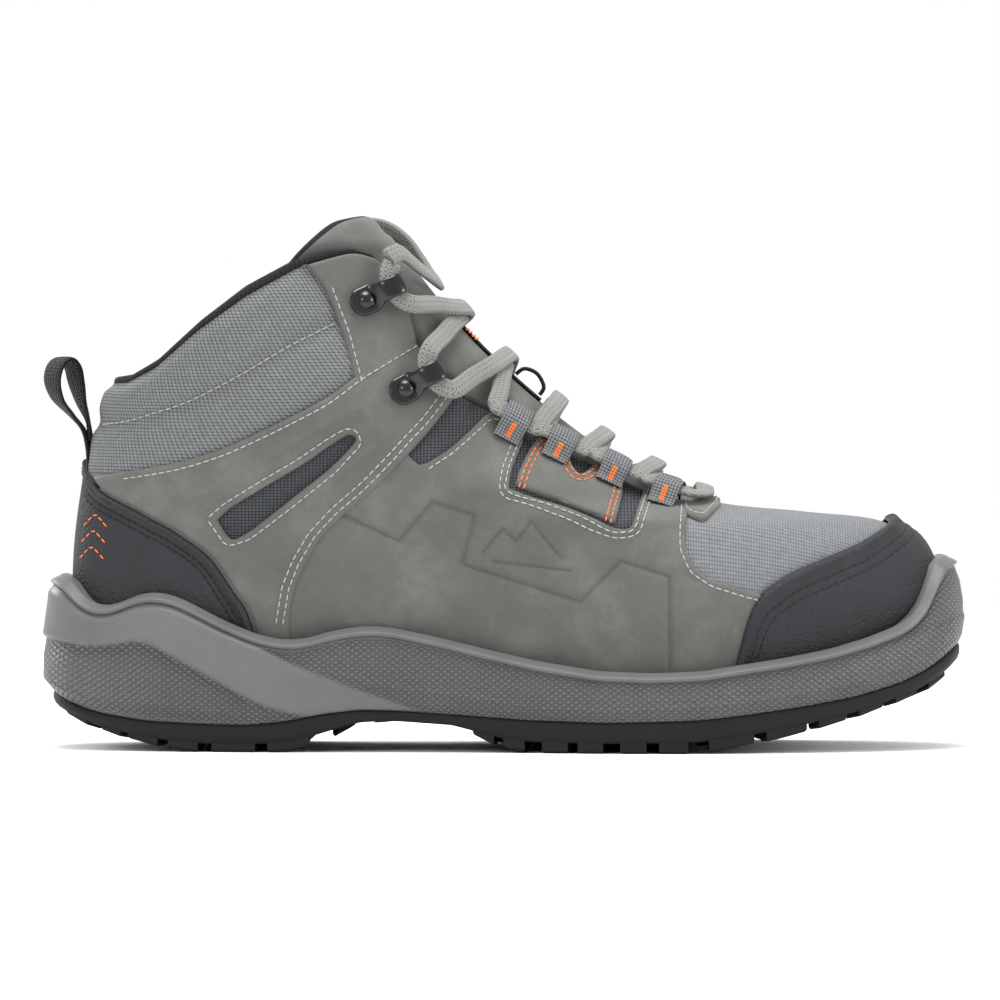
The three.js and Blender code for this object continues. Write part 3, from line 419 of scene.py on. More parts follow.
# ------------------------------------------------------------ the midsole
# Poured polyurethane foam with a smooth satin skin: a rounded lip where it meets the upper, a smooth swept
# band from the heel to the arch, and moulded diamond hatching over the rest of its side.
MIDSOLE_TOP = [
    (-150, 57), (-142, 55), (-138, 49.4), (-132, 46.4), (-126, 46.8), (-117, 50.6), (-110, 50.8), (-104, 49),
    (-90, 41.9), (-79, 37.4), (-71, 35.8), (-64, 36), (-55, 38.6), (-45, 40.2), (-37, 40), (-20, 36.4),
    (-5, 32.6), (10, 29.2), (30, 26), (48, 25.4), (64, 26), (77, 28), (90, 29.9), (106, 32.8), (119, 36.4),
    (131, 40.8), (137.5, 46.4), (141, 55), (144, 62), (150, 62),
]
MIDSOLE_BOTTOM = [
    (-151, 22), (-144, 16.3), (-131, 12), (-115, 9.4), (-98, 8.5), (-82, 8.1), (-69, 9.4), (-59, 11.7),
    (-46, 13.3), (-33, 13), (-7, 11.1), (6, 10.1), (32, 9.4), (48, 9.8), (64, 10.4), (80, 12.2), (97, 14.6),
    (113, 17.4), (129, 22), (140, 27.4), (150, 35),
]
BAND_LOW = [
    (-150, 37), (-143.2, 35.4), (-133.9, 33.8), (-124.6, 34.5), (-118.5, 35.8), (-114.2, 35.2),
    (-106.9, 31.3),
    (-96.7, 25.7), (-86.3, 19.8), (-75.9, 14.6), (-67.5, 12.5), (-60, 11),
]
BAND_HIGH = [
    (-83, 37.5), (-79.5, 34.5), (-70, 29.2), (-60, 25.4), (-50, 21.5), (-40.1, 18), (-30, 14.6), (-20, 11)
]
WALL_RING = 0.12


def height_line(points, x):
    p = np.array(points, float)
    return sum(
        w * np.interp(np.asarray(x) + dx, p[:, 0], p[:, 1]) for w, dx in ((0.25, -3), (0.5, 0), (0.25, 3))
    )


SOLE_STEPS = 260
sole_half = even_angles(WALL_RING, SOLE_STEPS + 1)
sole_angles = np.concatenate([sole_half, 2 * np.pi - sole_half[-2:0:-1]])
sole_plan = last_point(WALL_RING, sole_angles)[:, :2]
sole_out = unit(last_normal(WALL_RING, sole_angles)[:, :2])
sole_cos = np.cos(sole_angles)


def sole_edge(heel, side, toe):
    """Plan points of the sole's edge with these margins at the heel, the sides and the toe."""
    m = side + (heel - side) * np.maximum(0, sole_cos) ** 3 + (toe - side) * np.maximum(0, -sole_cos) ** 3
    return sole_plan + sole_out * m[:, None]


sole_run = run_of(sole_plan)

# The wall's section: shares of its height, and margins at the heel, the sides and the toe.
WALL_SECTION = [
    (0.00, 8.6, 7.6, 7.6), (0.03, 10.2, 8.4, 8.4), (0.12, 13.2, 9.4, 9.6), (0.3, 13.0, 9.8, 10.4),
    (0.5, 11.6, 9.4, 10.2), (0.7, 10.4, 8.7, 9.2), (0.86, 9.7, 8.0, 7.4),
]
LIP = 2.9
body_rows = 46
share = np.linspace(0, 1, body_rows)
sec = np.array(WALL_SECTION)
wall = []
edge_x = sole_edge(10, 8.4, 8.6)[:, 0]
top_z, low_z = height_line(MIDSOLE_TOP, edge_x), height_line(MIDSOLE_BOTTOM, edge_x)
for s in share:
    m = [np.interp(s * 0.86, sec[:, 0], sec[:, k]) for k in (1, 2, 3)]
    z = mix(low_z, top_z - LIP, s)
    wall.append(np.column_stack([sole_edge(*m), z]))
wall = np.array(wall)
wx, wz = wall[..., 0], wall[..., 2]
band_low = height_line(BAND_LOW, wx)
band_high = np.where(wx < -83, 90, height_line(BAND_HIGH, wx))
in_band = smooth(-0.7, 0.7, wz - band_low) * smooth(-0.7, 0.7, band_high - wz) * smooth(-20, -34, wx)
TWO_TONE = [(-60, 27), (-33.3, 21.6), (-10.2, 18.4), (13.2, 14.6), (40.4, 14), (90, 20), (150, 44)]
fore_low = smooth(0.4, -0.4, wz - height_line(TWO_TONE, wx)) * (wx > -60) * (1 - in_band)
proud = 1.5 * in_band * (0.55 + 0.45 * smooth(-30, -100, wx)) + 0.35 * fore_low
edge_soft = smooth(0, 0.05, share)[:, None] * smooth(1.0, 0.93, share)[:, None]
wall[..., :2] += sole_out[None] * (proud * edge_soft)[..., None]
hatch = (1 - in_band) * smooth(0.02, 0.06, share)[:, None] * smooth(0.985, 0.95, share)[:, None]
# The lip: a half-round bead on top of the wall, then in under the upper.
lip_rows, lip_hatch = [], []
for t in np.linspace(0, 1, 12):
    a = math.pi * (t * 0.93)
    m = [
        v - 0.55 * LIP * (1 - math.sin(a)) * 0.9 + 0.5 - 2.0 * max(0, t - 0.5) * 3.2 for v in (10.2, 8.5, 7.9)
    ]
    z = top_z - LIP * 0.5 * (1 + math.cos(a)) + (0.4 if t > 0.9 else 0)
    lip_rows.append(np.column_stack([sole_edge(*m), z]))
    lip_hatch.append(np.zeros(len(z)))
lip_rows.append(np.column_stack([sole_edge(-3, -4, -4), top_z - 2.5]))
lip_hatch.append(np.zeros(len(top_z)))
rows = np.concatenate([wall, lip_rows])
cols = rows.shape[1]
run = np.append(sole_run, sole_run[-1])[:cols]
HATCH = 2.6
perimeter = run[-1] + np.linalg.norm(sole_plan[0] - sole_plan[-1])
fit = round(perimeter / HATCH) * HATCH / perimeter
run = run * fit
uv = np.stack([np.broadcast_to(run, rows.shape[:2]), rows[..., 2]], -1)


def soft_rubber(name, tone, shade, rough, grain_mm, grain_depth, hatch_mm=None):
    """Satin moulded foam or matt rubber: nearly even colour, a slight mottle, a fine skin texture, and, if
    hatched, painted shade in the grooves of the hatching.
    """
    material = finish(name, Roughness=rough)
    tree = material.node_tree
    tint = mixed(tree, noise(tree, 14, 4.0), colour(tone), colour(shade))
    normal = bumped(tree, noise(tree, grain_mm, 3.0), 0.35, grain_depth)
    if hatch_mm:
        u, v = uv_ways(tree)
        mask = node(tree, "ShaderNodeAttribute", attribute_name="hatch").outputs["Fac"]
        waves = []
        for slope in (1.35, -1.35):
            line = maths(tree, "ADD", u, maths(tree, "MULTIPLY", v, slope))
            waves.append(arches(tree, line, math.pi / (hatch_mm * MM)))
        peak = maths(tree, "MULTIPLY", maths(tree, "MINIMUM", *waves), mask)
        normal = bumped(tree, peak, 1.0, 0.9, normal)
        # Painted shade: the grooves between the raised diamonds are painted darker, towards #48494a.
        gap = maths(tree, "SUBTRACT", 1.0, spread(tree, peak, 0.0, 0.35))
        dark = maths(tree, "MULTIPLY", maths(tree, "MULTIPLY", gap, mask), 0.75)
        tint = mixed(tree, dark, tint, colour("#48494a"))
    return skin(material, tint, normal)


# Polyurethane foam skin: satin, so the lip and the band carry soft highlights.
foam_skin = soft_rubber("moulded_polyurethane_foam", "#5f605f", "#505151", 0.42, 0.5, 0.05, hatch_mm=HATCH)
midsole = make(
    "midsole_foam", rows.reshape(-1, 3), grid_faces(len(rows), cols, wrap=True), uv.reshape(-1, 2), foam_skin
)
# Round the back, u runs on past the last column instead of jumping back to nothing.
corner = np.empty(len(midsole.data.loops), np.int32)
midsole.data.loops.foreach_get("vertex_index", corner)
column = (corner % cols).reshape(-1, 4)
seam = (column == 0) & (column == cols - 1).any(axis=1)[:, None]
corner_uv = np.empty(len(corner) * 2, np.float32)
midsole.data.uv_layers[0].data.foreach_get("uv", corner_uv)
corner_uv.reshape(-1, 2)[seam.ravel(), 0] += perimeter * fit * MM
midsole.data.uv_layers[0].data.foreach_set("uv", corner_uv)
values = np.concatenate([hatch, lip_hatch]).ravel().astype(np.float32)
midsole.data.attributes.new("hatch", "FLOAT", "POINT").data.foreach_set("value", values)
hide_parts("midsole")

# ------------------------------------------------------------ the outsole
# Black nitrile rubber: a thin plate glued under the midsole, turned up a little at its edge, with lugs
# moulded on it. The lugs along the edge are bevelled blocks, and the arch has only low nubs.
TREAD = [
    (-151, 19), (-144, 12.7), (-134, 8.1), (-122, 4.4), (-110, 1.6), (-99, 0), (-70, 0), (-61, 2.2),
    (-46, 9.2), (-33, 10.2), (-17, 9.2), (-8, 5), (0, 1.6), (10, 0), (62, 0), (77, 2.4), (93, 5.6), (113, 11),
    (123, 14.4),
    (136, 18.8), (144, 23.4), (150, 30),
]
PLATE = 3.0
PLATE_SECTION = [(0.1, 6.6), (0.1, 8.7), (-0.1, 9.1), (-0.55, 9.1), (-0.9, 8.6), (-1, 7.8), (-1, 3.0)]
plate_deep = PLATE + np.maximum(0, low_z - height_line(TREAD, edge_x) - PLATE) * 0.5
plate_rows = [np.column_stack([sole_edge(m + 0.8, m, m), low_z + dz * plate_deep]) for dz, m in PLATE_SECTION]


def closed_floor(edge):
    """Rungs across a ring from one side to the other, which close it."""
    n = len(edge)
    faces = []
    for j in range(n // 2):
        a, b, c, d = j, j + 1, (n - j) % n, n - j - 1
        quad = [a, b, d, c] if c != a else [a, b, d]
        if b == d:
            quad = [a, b, c]
        faces.append(quad)
    return faces


black_rubber = soft_rubber("moulded_nitrile_rubber", "#101113", "#0b0c0d", 0.62, 0.6, 0.06)
plate = np.array(plate_rows)
plate_faces = [list(f) for f in grid_faces(len(plate), cols, wrap=True, flip=True)]
last_row = (len(plate) - 1) * cols
plate_faces += [[v + last_row for v in f] for f in closed_floor(plate[-1])]
outsole = make("outsole_plate", plate.reshape(-1, 3), plate_faces, None, black_rubber)
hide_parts("outsole")

# Lugs along the edge, as x at both ends of each.
EDGE_LUGS = [
    (-141, -134), (-129.5, -123), (-120.5, -111), (-107.5, -98), (-93.5, -79.5), (-75.5, -62), (-9.6, -2.8),
    (0.2, 7), (12.6, 20.8), (24, 32), (37.6, 46), (50, 59.4), (66, 80.6), (84.6, 97.6), (101.5, 110.5),
    (114.5, 122.5), (126.5, 133.5), (137.5, 143),
]
lug_places, lug_faces = [], []


def add_block(corners_low, corners_high):
    """A bevelled block between two loops of corners, one below the other."""
    start = len(lug_places)
    n = len(corners_low)
    lug_places.extend(corners_high)
    centre = np.mean(corners_low, axis=0)
    lug_places.extend([p + np.array([0, 0, 0.9]) for p in corners_low])
    for p in corners_low:
        inward = (centre - p) * [1, 1, 0] / max(1e-6, np.linalg.norm((centre - p)[:2]))
        lug_places.append(p + inward * 0.8)
    for k in range(2):
        for j in range(n):
            a, b = start + k * n + j, start + k * n + (j + 1) % n
            lug_faces.append([a, b, b + n, a + n])
    lug_faces.append([start + 2 * n + j for j in range(n)])
    lug_faces.append([start + j for j in reversed(range(n))])


plan_edge = sole_edge(9.4, 8.5, 8.5)
for side, picks in (
    ("lateral", range(0, SOLE_STEPS + 1)), ("medial", [k % cols for k in range(cols, SOLE_STEPS - 1, -1)])
):
    line = plan_edge[list(picks)]
    out = sole_out[list(picks)]
    for x0, x1 in EDGE_LUGS:
        xs = np.linspace(x0, x1, 6)
        outer = np.column_stack([np.interp(xs, line[:, 0], line[:, k]) for k in (0, 1)])
        normal = unit(np.column_stack([np.interp(xs, line[:, 0], out[:, k]) for k in (0, 1)]))
        depth = 13.0 if -125 < x0 < 120 else 10.0
        inner = outer - normal * depth
        inner[:, 0] = mix(inner[:, 0], (x0 + x1) / 2, 0.12)
        loop = np.concatenate([outer, inner[::-1]])
        low = height_line(TREAD, loop[:, 0])
        high = height_line(MIDSOLE_BOTTOM, loop[:, 0]) - 1.0
        flare = np.concatenate([outer - normal * 0.6, inner[::-1]])
        block_low, block_high = np.column_stack([loop, low]), np.column_stack([flare, high])
        if side == "medial":
            block_low, block_high = block_low[::-1], block_high[::-1]
        add_block(list(block_low), list(block_high))
# Blocks inside the edge lugs, in rows that lean alternately.
for i, (x0, x1) in enumerate(EDGE_LUGS[1:-1]):
    mid = (x0 + x1) / 2
    reach = np.interp(mid, plan_edge[: SOLE_STEPS + 1, 0], -plan_edge[: SOLE_STEPS + 1, 1]) - 17
    count = 3 if 15 < mid < 90 else 2
    wide = max(6.0, 2 * reach / count - 3.4)
    for k in range(count):
        y = (k - (count - 1) / 2) * (wide + 3.4) + 2
        lean = 2.2 if (k + i) % 2 else -2.2
        hx = (x1 - x0) / 2
        loop = np.array([
            (mid - hx + lean, y - wide / 2), (mid + hx, y - wide / 2), (mid + hx + lean * 0.6, y),
            (mid + hx, y + wide / 2), (mid - hx + lean, y + wide / 2), (mid - hx + lean * 1.6, y),
        ])
        low, high = height_line(TREAD, loop[:, 0]), height_line(MIDSOLE_BOTTOM, loop[:, 0]) - 2.0
        add_block(list(np.column_stack([loop, low + 0.2])), list(np.column_stack([loop, high])))
# Low nubs under the arch.
for x in (-51, -38, -25):
    for y in (-26, -9, 9, 24):
        ring = np.array(
            [(x + 4 * math.cos(a), y + 5 * math.sin(a)) for a in np.linspace(0, 2 * math.pi, 10)[:-1]]
        )
        low, high = height_line(TREAD, ring[:, 0]) - 0.6, height_line(MIDSOLE_BOTTOM, ring[:, 0]) - 2
        add_block(list(np.column_stack([ring, low])), list(np.column_stack([ring, high])))
lugs = make("outsole_lugs", np.array(lug_places), lug_faces, None, black_rubber, shade=False)
face_out(lugs)

# ------------------------------------------------------------ the vamp
# Every sheet of the upper is cut flat, pulled over the last and sewn down. The vamp is one piece of finely
# woven polyester that runs over the instep and under the toe overlay.
THROAT = [
    (66, 78.5), (57, 79.8), (45.7, 84.2), (30, 92.2), (13, 101.5), (-3, 109), (-14.8, 115.5),
    (-23.6, 124.5), (-28.6, 132), (-33.3, 147), (-37.3, 154.5),
]
COLLAR_TOP = [
    (-37.3, 154.5), (-42, 158), (-48, 159.6), (-54, 158.8), (-66, 155.4), (-82, 146.6),
    (-98, 135.2), (-112, 123.2), (-121, 118.6), (-150, 117),
]
ANKLE_TOP = [
    (-150, 86.5), (-131, 88.2), (-120, 90), (-104, 93), (-90, 97.5), (-77, 103.4), (-65, 109.3),
    (-55, 114.8), (-46, 121.4), (-38, 126.3), (-29.1, 131.5),
]
PANEL_LIFT, OVERLAY_LIFT, LEATHER = 0.3, 1.8, 1.2


def resample(points, step, closed=False):
    """Points about a step apart along a line."""
    p = np.asarray(points, float)
    if closed:
        p = np.vstack([p, p[:1]])
    run = run_of(p)
    at = np.linspace(0, run[-1], max(3, int(round(run[-1] / step)) + 1))
    out = np.column_stack([np.interp(at, run, p[:, k]) for k in range(p.shape[1])])
    return out[:-1] if closed else out


def curved(*runs):
    """An outline of runs: each is a smooth line through its points, and they meet at corners."""
    parts = [spline(r, np.linspace(0, 1, len(r) * 8)) if len(r) > 2 else np.asarray(r, float) for r in runs]
    return np.vstack(parts)


def inside(points, loop):
    x, y = points[:, 0][:, None], points[:, 1][:, None]
    ax, ay = loop[:, 0], loop[:, 1]
    bx, by = np.roll(ax, -1), np.roll(ay, -1)
    rise = np.where(by == ay, 1e-9, by - ay)
    return (((ay > y) != (by > y)) & (x < ax + (y - ay) / rise * (bx - ax))).sum(axis=1) % 2 == 1


def distance(points, line, closed=False):
    """How far each point is from a line."""
    ends = np.roll(line, -1, axis=0) if closed else line[1:]
    best = np.full(len(points), 1e9)
    for a, b in zip(line, ends):
        d = b - a
        t = np.clip((points - a) @ d / max(1e-9, d @ d), 0, 1)
        best = np.minimum(best, np.linalg.norm(points - a - t[:, None] * d, axis=1))
    return best


def inset(line, by):
    """The line moved to its left by this many millimetres."""
    p = resample(line, 1.5)
    t = unit(np.gradient(p, axis=0))
    return p + np.column_stack([-t[:, 1], t[:, 0]]) * by


def panel(name, on, loop, lift, thick, material, holes=(), ridges=(), step=1.8, edge=0.9):
    """A sheet on the last. Its outline is in map points; a ridge is a line, a height and a half width."""
    loops = [resample(line, 1.1, closed=True) for line in (loop, *holes)]
    lines = [(resample(line, 1.0), height, half) for line, height, half in ridges]
    fixed, edges, extra = [], [], []
    for line in loops:
        start = sum(len(f) for f in fixed)
        fixed.append(line)
        edges += [(start + k, start + (k + 1) % len(line)) for k in range(len(line))]
        t = unit(np.roll(line, -1, axis=0) - np.roll(line, 1, axis=0))
        n = np.column_stack([-t[:, 1], t[:, 0]])
        for d in (0.35 * edge, edge):
            for sign in (1, -1):
                row = line + n * d * sign
                far = np.min([distance(row, other, closed=True) for other in loops], axis=0)
                extra.append(row[far > 0.9 * d])
    for line, _, half in lines:
        t = unit(np.gradient(line, axis=0))
        n = np.column_stack([-t[:, 1], t[:, 0]])
        extra += [line + n * half * k for k in (-1.25, -0.6, 0, 0.6, 1.25)]
    low, high = loops[0].min(axis=0), loops[0].max(axis=0)
    rows = np.arange(low[1], high[1], step * 0.87)
    grid = []
    for k, z in enumerate(rows):
        xs = np.arange(low[0] + (k % 2) * step / 2, high[0], step)
        grid.append(np.column_stack([xs, np.full(len(xs), z)]))
    grid = np.vstack(grid)
    for line, _, half in lines:
        grid = grid[distance(grid, line) > half * 1.5]
    free = np.vstack([*extra, grid]) if extra else grid
    away = np.min([distance(free, line, closed=True) for line in loops], axis=0)
    free = free[inside(free, loops[0]) & (away > 0.3 * edge)]
    for hole in loops[1:]:
        free = free[~inside(free, hole)]
    points = np.vstack([*fixed, free])
    coords, _, tris, _, _, _ = geometry.delaunay_2d_cdt(
        [Vector(p) for p in points], edges, [], 0, 1e-4, False
    )
    points = np.array([tuple(c) for c in coords])
    tris = np.array([t for t in tris if len(t) == 3])
    middle = points[tris].mean(axis=1)
    keep = inside(middle, loops[0])
    for hole in loops[1:]:
        keep &= ~inside(middle, hole)
    tris = tris[keep]
    used = np.unique(tris)
    renumber = np.full(len(points), -1)
    renumber[used] = np.arange(len(used))
    points, tris = points[used], renumber[tris]
    base, normals = cast(*on.rays(points))
    away = np.min([distance(points, line, closed=True) for line in loops], axis=0)
    height = thick * (0.3 + 0.7 * np.sqrt(1 - (1 - np.minimum(away / edge, 1)) ** 2))
    for line, size, half in lines:
        height = height + size * np.cos(np.minimum(distance(points, line) / half, 1) * np.pi / 2) ** 2
    top = base + normals * (lift + height)[:, None]
    a, b, c = (top[tris[:, k]] for k in range(3))
    outward = (np.cross(b - a, c - a) * normals[tris[:, 0]]).sum(axis=1).sum() > 0
    if not outward:
        tris = tris[:, ::-1]
    ways = np.vstack([tris[:, [0, 1]], tris[:, [1, 2]], tris[:, [2, 0]]])
    known = {tuple(w) for w in ways.tolist()}
    rim = [w for w in ways.tolist() if (w[1], w[0]) not in known]
    skirt = sorted({v for w in rim for v in w})
    low_at = {v: len(top) + k for k, v in enumerate(skirt)}
    under = base[skirt] + normals[skirt] * (lift - 0.5)
    faces = tris.tolist() + [[w[1], w[0], low_at[w[0]], low_at[w[1]]] for w in rim]
    uv = np.vstack([points, points[skirt]])
    return make(name, np.vstack([top, under]), faces, uv, material)


def weave(tree, pitch, across):
    """Plain weave from the UV map: the height of the thread that is on top."""
    waves, cells = [], []
    for way, size in zip(uv_ways(tree), (pitch, pitch * across)):
        counted = maths(tree, "MULTIPLY", way, per_mm(size))
        cells.append(maths(tree, "FLOOR", counted))
        waves.append(arches(tree, counted, math.pi))
    on_top = maths(tree, "FLOORED_MODULO", maths(tree, "ADD", *cells), 2.0)
    sides = []
    for a, b in (waves, waves[::-1]):
        sides.append(maths(tree, "MULTIPLY", a, maths(tree, "MULTIPLY_ADD", b, 0.6, 0.4)))
    return node(tree, "ShaderNodeMix", {0: on_top, 2: sides[0], 3: sides[1]}).outputs[0]


def cloth(name, light, dark, pitch, depth, rough=0.8, across=1.0):
    """Woven cloth: threads over and under each other, with painted shade in the gaps between them."""
    material = finish(name, Roughness=rough)
    tree = material.node_tree
    height = weave(tree, pitch, across)
    # Painted shade: the colour falls from the first colour on the thread tops to the second, darker colour in
    # the low gaps.
    tint = mixed(tree, spread(tree, height, 0.05, 0.55), colour(dark), colour(light))
    fleck = spread(tree, noise(tree, 1.6, 3.0), 0.3, 0.7, 0.88, 1.1)
    return skin(material, dimmed(tree, tint, fleck), bumped(tree, height, 0.8, depth))


def over_instep(on, lateral_points):
    """An outline across the instep: these side-view points on the outer side, then on the inner side."""
    outer, inner = on_last(lateral_points, "lateral"), on_last(lateral_points[::-1], "medial")
    return np.vstack([on.flat(outer), on.flat(inner)])


spindle = SpindleMap()
vamp_edge = [(130, 36), (112, 27), (90, 23), (54, 22), (54, 79.4), (66, 78.5)]
vamp_loop = over_instep(spindle, vamp_edge)
fine_weave = cloth("woven_polyester_fine", "#747678", "#4f5155", 0.85, 0.18)
vamp = panel("vamp_textile", spindle, vamp_loop, -0.9, 0.9, fine_weave, step=2.2)
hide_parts("vamp")

# ------------------------------------------------------------ the side mesh
# Charcoal spacer mesh under the nubuck, which shows in the ankle window, beside the laces and by the eyestay.
side_mesh_cloth = cloth("spacer_mesh_charcoal", "#434548", "#111214", 1.15, 0.35, across=0.85)
mesh_throat = [p for p in THROAT if p[0] < 54 and p[1] < 126]
SIDES = ("lateral", "medial")
side_maps = {side: SideMap(side) for side in SIDES}
for side in SIDES:
    low_collar = [(x, z - 6) for x, z in ANKLE_TOP[2:-1]]
    loop = curved([(-110, 40), (-60, 24), (54, 24)], [(54, 80.4), *mesh_throat], low_collar[::-1])
    piece = panel(f"side_mesh_{side}", side_maps[side], loop, -0.9, 0.9, side_mesh_cloth, step=2.0)
    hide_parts(f"quarter_mesh_{side}")

# ------------------------------------------------------------ the collar
# A foam roll between the woven cover and the knitted lining. The cover is quilted once along its length, and
# the lining comes over the top edge, where it shows as a dark rolled rim, then runs down to the insole.
QUILT = [
    (-133.7, 106), (-128.7, 105), (-120.4, 106.3), (-112, 108.9), (-103.8, 111.5), (-95.5, 115.2),
    (-82.4, 122.2), (-68.7, 130.3), (-55, 137.2), (-40, 144),
]
collar_weave = cloth("woven_polyester_collar", "#6e7071", "#333537", 1.05, 0.35)
knit = cloth("knitted_lining_charcoal", "#1d1e20", "#08090a", 1.5, 0.35, rough=0.95, across=0.7)
throat_at = np.array([locate(x, z, "lateral") for x, z in THROAT[:0:-1]])[::-1]
collar_cols = 181


def front_angle(h):
    """How far round from the heel the throat's edge lies on this ring."""
    return np.interp(h, throat_at[:, 0], throat_at[:, 1])


def line_height(points, x):
    p = np.array(sorted(map(tuple, points)), float)
    return np.interp(x, p[:, 0], p[:, 1])


def find_ring(line, low, angles_at):
    """The ring at which each column meets a side-view line, searched from the rings in low up."""
    high = np.full(len(low), H_HIGH)
    for _ in range(30):
        h = (low + high) / 2
        p = last_point(h, angles_at(h))
        above = p[:, 2] > line_height(line, p[:, 0])
        high, low = np.where(above, h, high), np.where(above, low, h)
    return (low + high) / 2


shares = np.sin(np.linspace(-1, 1, collar_cols) * 1.25) / math.sin(1.25) * 0.995


def collar_angles(h):
    return shares * front_angle(h)


h_top = find_ring(COLLAR_TOP, np.zeros(collar_cols), collar_angles)
h_low = find_ring([(x, z - 8) for x, z in ANKLE_TOP], np.zeros(collar_cols), collar_angles)


def lining_face(h, angle):
    from_front = np.abs(np.pi - np.abs(angle))
    return -3.1 - 6 * smooth(0.58, 0.76, h) * smooth(0.95, 1.35, from_front)


collar_rows, row_uv, row_kind = [], [], []
for t in np.linspace(0, 1, 44):
    h = mix(h_low, h_top, t)
    angle = collar_angles(h)
    p = last_point(h, angle)
    quilt_gap = p[:, 2] - line_height(QUILT, p[:, 0])
    puff = 1.9 * (1 - np.exp(-((quilt_gap / 3.6) ** 2))) * smooth(0.0, 0.1, 1 - t) * smooth(0.02, 0.3, t)
    puff *= smooth(1.0, 0.9, np.abs(shares)) * smooth(2.15, 1.85, np.abs(angle))
    collar_rows.append(p + last_normal(h, angle) * puff[:, None])
    row_uv.append(np.column_stack([angle * 42, p[:, 2]]))
    row_kind.append(0)
cover_rows = len(collar_rows)
top_angle = collar_angles(h_top)
top_place, top_normal = last_point(h_top, top_angle), last_normal(h_top, top_angle)
deep = lining_face(h_top, top_angle) - 1.0
for k, turn in enumerate(np.linspace(0, math.pi, 15)):
    lift = deep / 2 * (1 - math.cos(turn)) + 0.5 * math.sin(turn)
    rise = np.minimum(3.4, 1.6 - deep * 0.22) * math.sin(turn)
    collar_rows.append(top_place + top_normal * lift[:, None] + np.array([0, 0, 1]) * rise[:, None])
    row_uv.append(np.column_stack([top_angle * 40, top_place[:, 2] + k * 0.9]))
    row_kind.append(1)
for t in np.linspace(0.02, 1, 60):
    h = mix(h_top, 0.03, t)
    angle = collar_angles(h)
    deep_here = lining_face(h, angle) - 1.0
    p = last_point(h, angle)
    collar_rows.append(p + last_normal(h, angle) * deep_here[:, None])
    row_uv.append(np.column_stack([angle * 40, p[:, 2]]))
    row_kind.append(1)
# Column 0 is on the inner side, and columns run round the heel to the outer side.
collar_places = np.array(collar_rows)
collar_faces = grid_faces(len(collar_places), collar_cols, flip=True)
collar = make(
    "collar_and_lining", collar_places.reshape(-1, 3), collar_faces, np.array(row_uv).reshape(-1, 2),
    collar_weave
)
collar.data.materials.append(knit)
kinds = np.repeat([0] * (cover_rows - 1) + [1] * (len(collar_places) - cover_rows), collar_cols - 1)
collar.data.polygons.foreach_set("material_index", kinds.astype(np.int32))
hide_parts("collar_cover", "quarter_lining", "collar_foam")

# ------------------------------------------------------------ the nubuck
# Buffed grey leather with a short nap, a little lighter where it is rubbed. The quarter carries a stamped
# zigzag, the ankle overlay a raised hairpin round its window. Cut edges are rounded here, and their darker
# colour is left out.
ANKLE_FRONT = [
    (-14.8, 115), (-23.6, 103), (-33.3, 92.3), (-42, 83.9), (-51.2, 76), (-58.7, 67.9),
    (-63.5, 59.5), (-66.5, 52), (-68.3, 42), (-68, 20),
]
HEEL_EDGE = [
    (-150, 103), (-136, 100), (-134.5, 94), (-131.8, 87.6), (-128.7, 83.3), (-120.4, 78.7),
    (-112, 74.2), (-104, 69.8), (-94, 62.4), (-86.3, 51.5), (-81, 42.7), (-76, 22),
]
WINDOW = [
    (-91.6, 74.5), (-87.5, 78.3), (-80, 83), (-65, 91.9), (-55.1, 98.6), (-49.4, 101.8),
    (-47.3, 99.6), (-55.1, 91.4), (-65, 83.5), (-75, 75.5), (-82, 70.2), (-87.4, 68.4),
]
NOTCH = [
    [(7.5, 103.4), (5.4, 96.9), (2.8, 90), (1.9, 84.4)],
    [(12.2, 80.8), (25.2, 76.4), (36.5, 72), (41.1, 72.4), (43, 76.8), (45.7, 84.2)],
]
EYESTAY = [
    [(4, 85.4), (5.5, 90.4), (9.2, 97.8), (12.5, 101)],
    [(21.2, 97), (21.8, 92), (24.3, 88.6), (26.6, 89.4), (29.9, 92.2)],
    [(34.5, 90.4), (38, 87.4)],
    [(38.6, 84.8), (37.8, 79.6), (36, 73.4)],
]
QUARTER_FRONT = [
    (59.6, 79.2), (59.3, 76), (58.6, 72), (58.7, 65.7), (61.6, 59.2), (67.4, 55.3), (75.6, 52.7), (84, 50.4),
]
QUARTER_TOP = [(3.4, 105.6), (-3, 108.6), (-6, 107.4), (-11.2, 102.4), (-17.4, 96.9), (-24, 92.8)]
FACING_SEAM = [(-63.5, 156.5), (-56.8, 147.2), (-51.6, 133.7), (-47.5, 119)]
ZIGZAG = [
    (-50.5, 76.1), (-33.3, 67.9), (-22.3, 80.9), (-8.6, 76.4), (-12.8, 60.5), (25.2, 48.8), (37.9, 61.8),
    (53.5, 56.6), (53.8, 26.3),
]
HAIRPIN = [
    (-100.3, 80), (-76, 93.2), (-47.6, 109.2), (-45, 108.9), (-39.7, 100.8), (-40.1, 97.5), (-47.6, 92),
    (-60, 80.6), (-70, 68), (-76.9, 57.5),
]
PEAKS = [
    [(-6, 64.5), (0.5, 72.5), (4.5, 68.2), (9.5, 74.5), (19, 62.8)],
    [(-2.6, 61.4), (21.6, 58.6)],
]


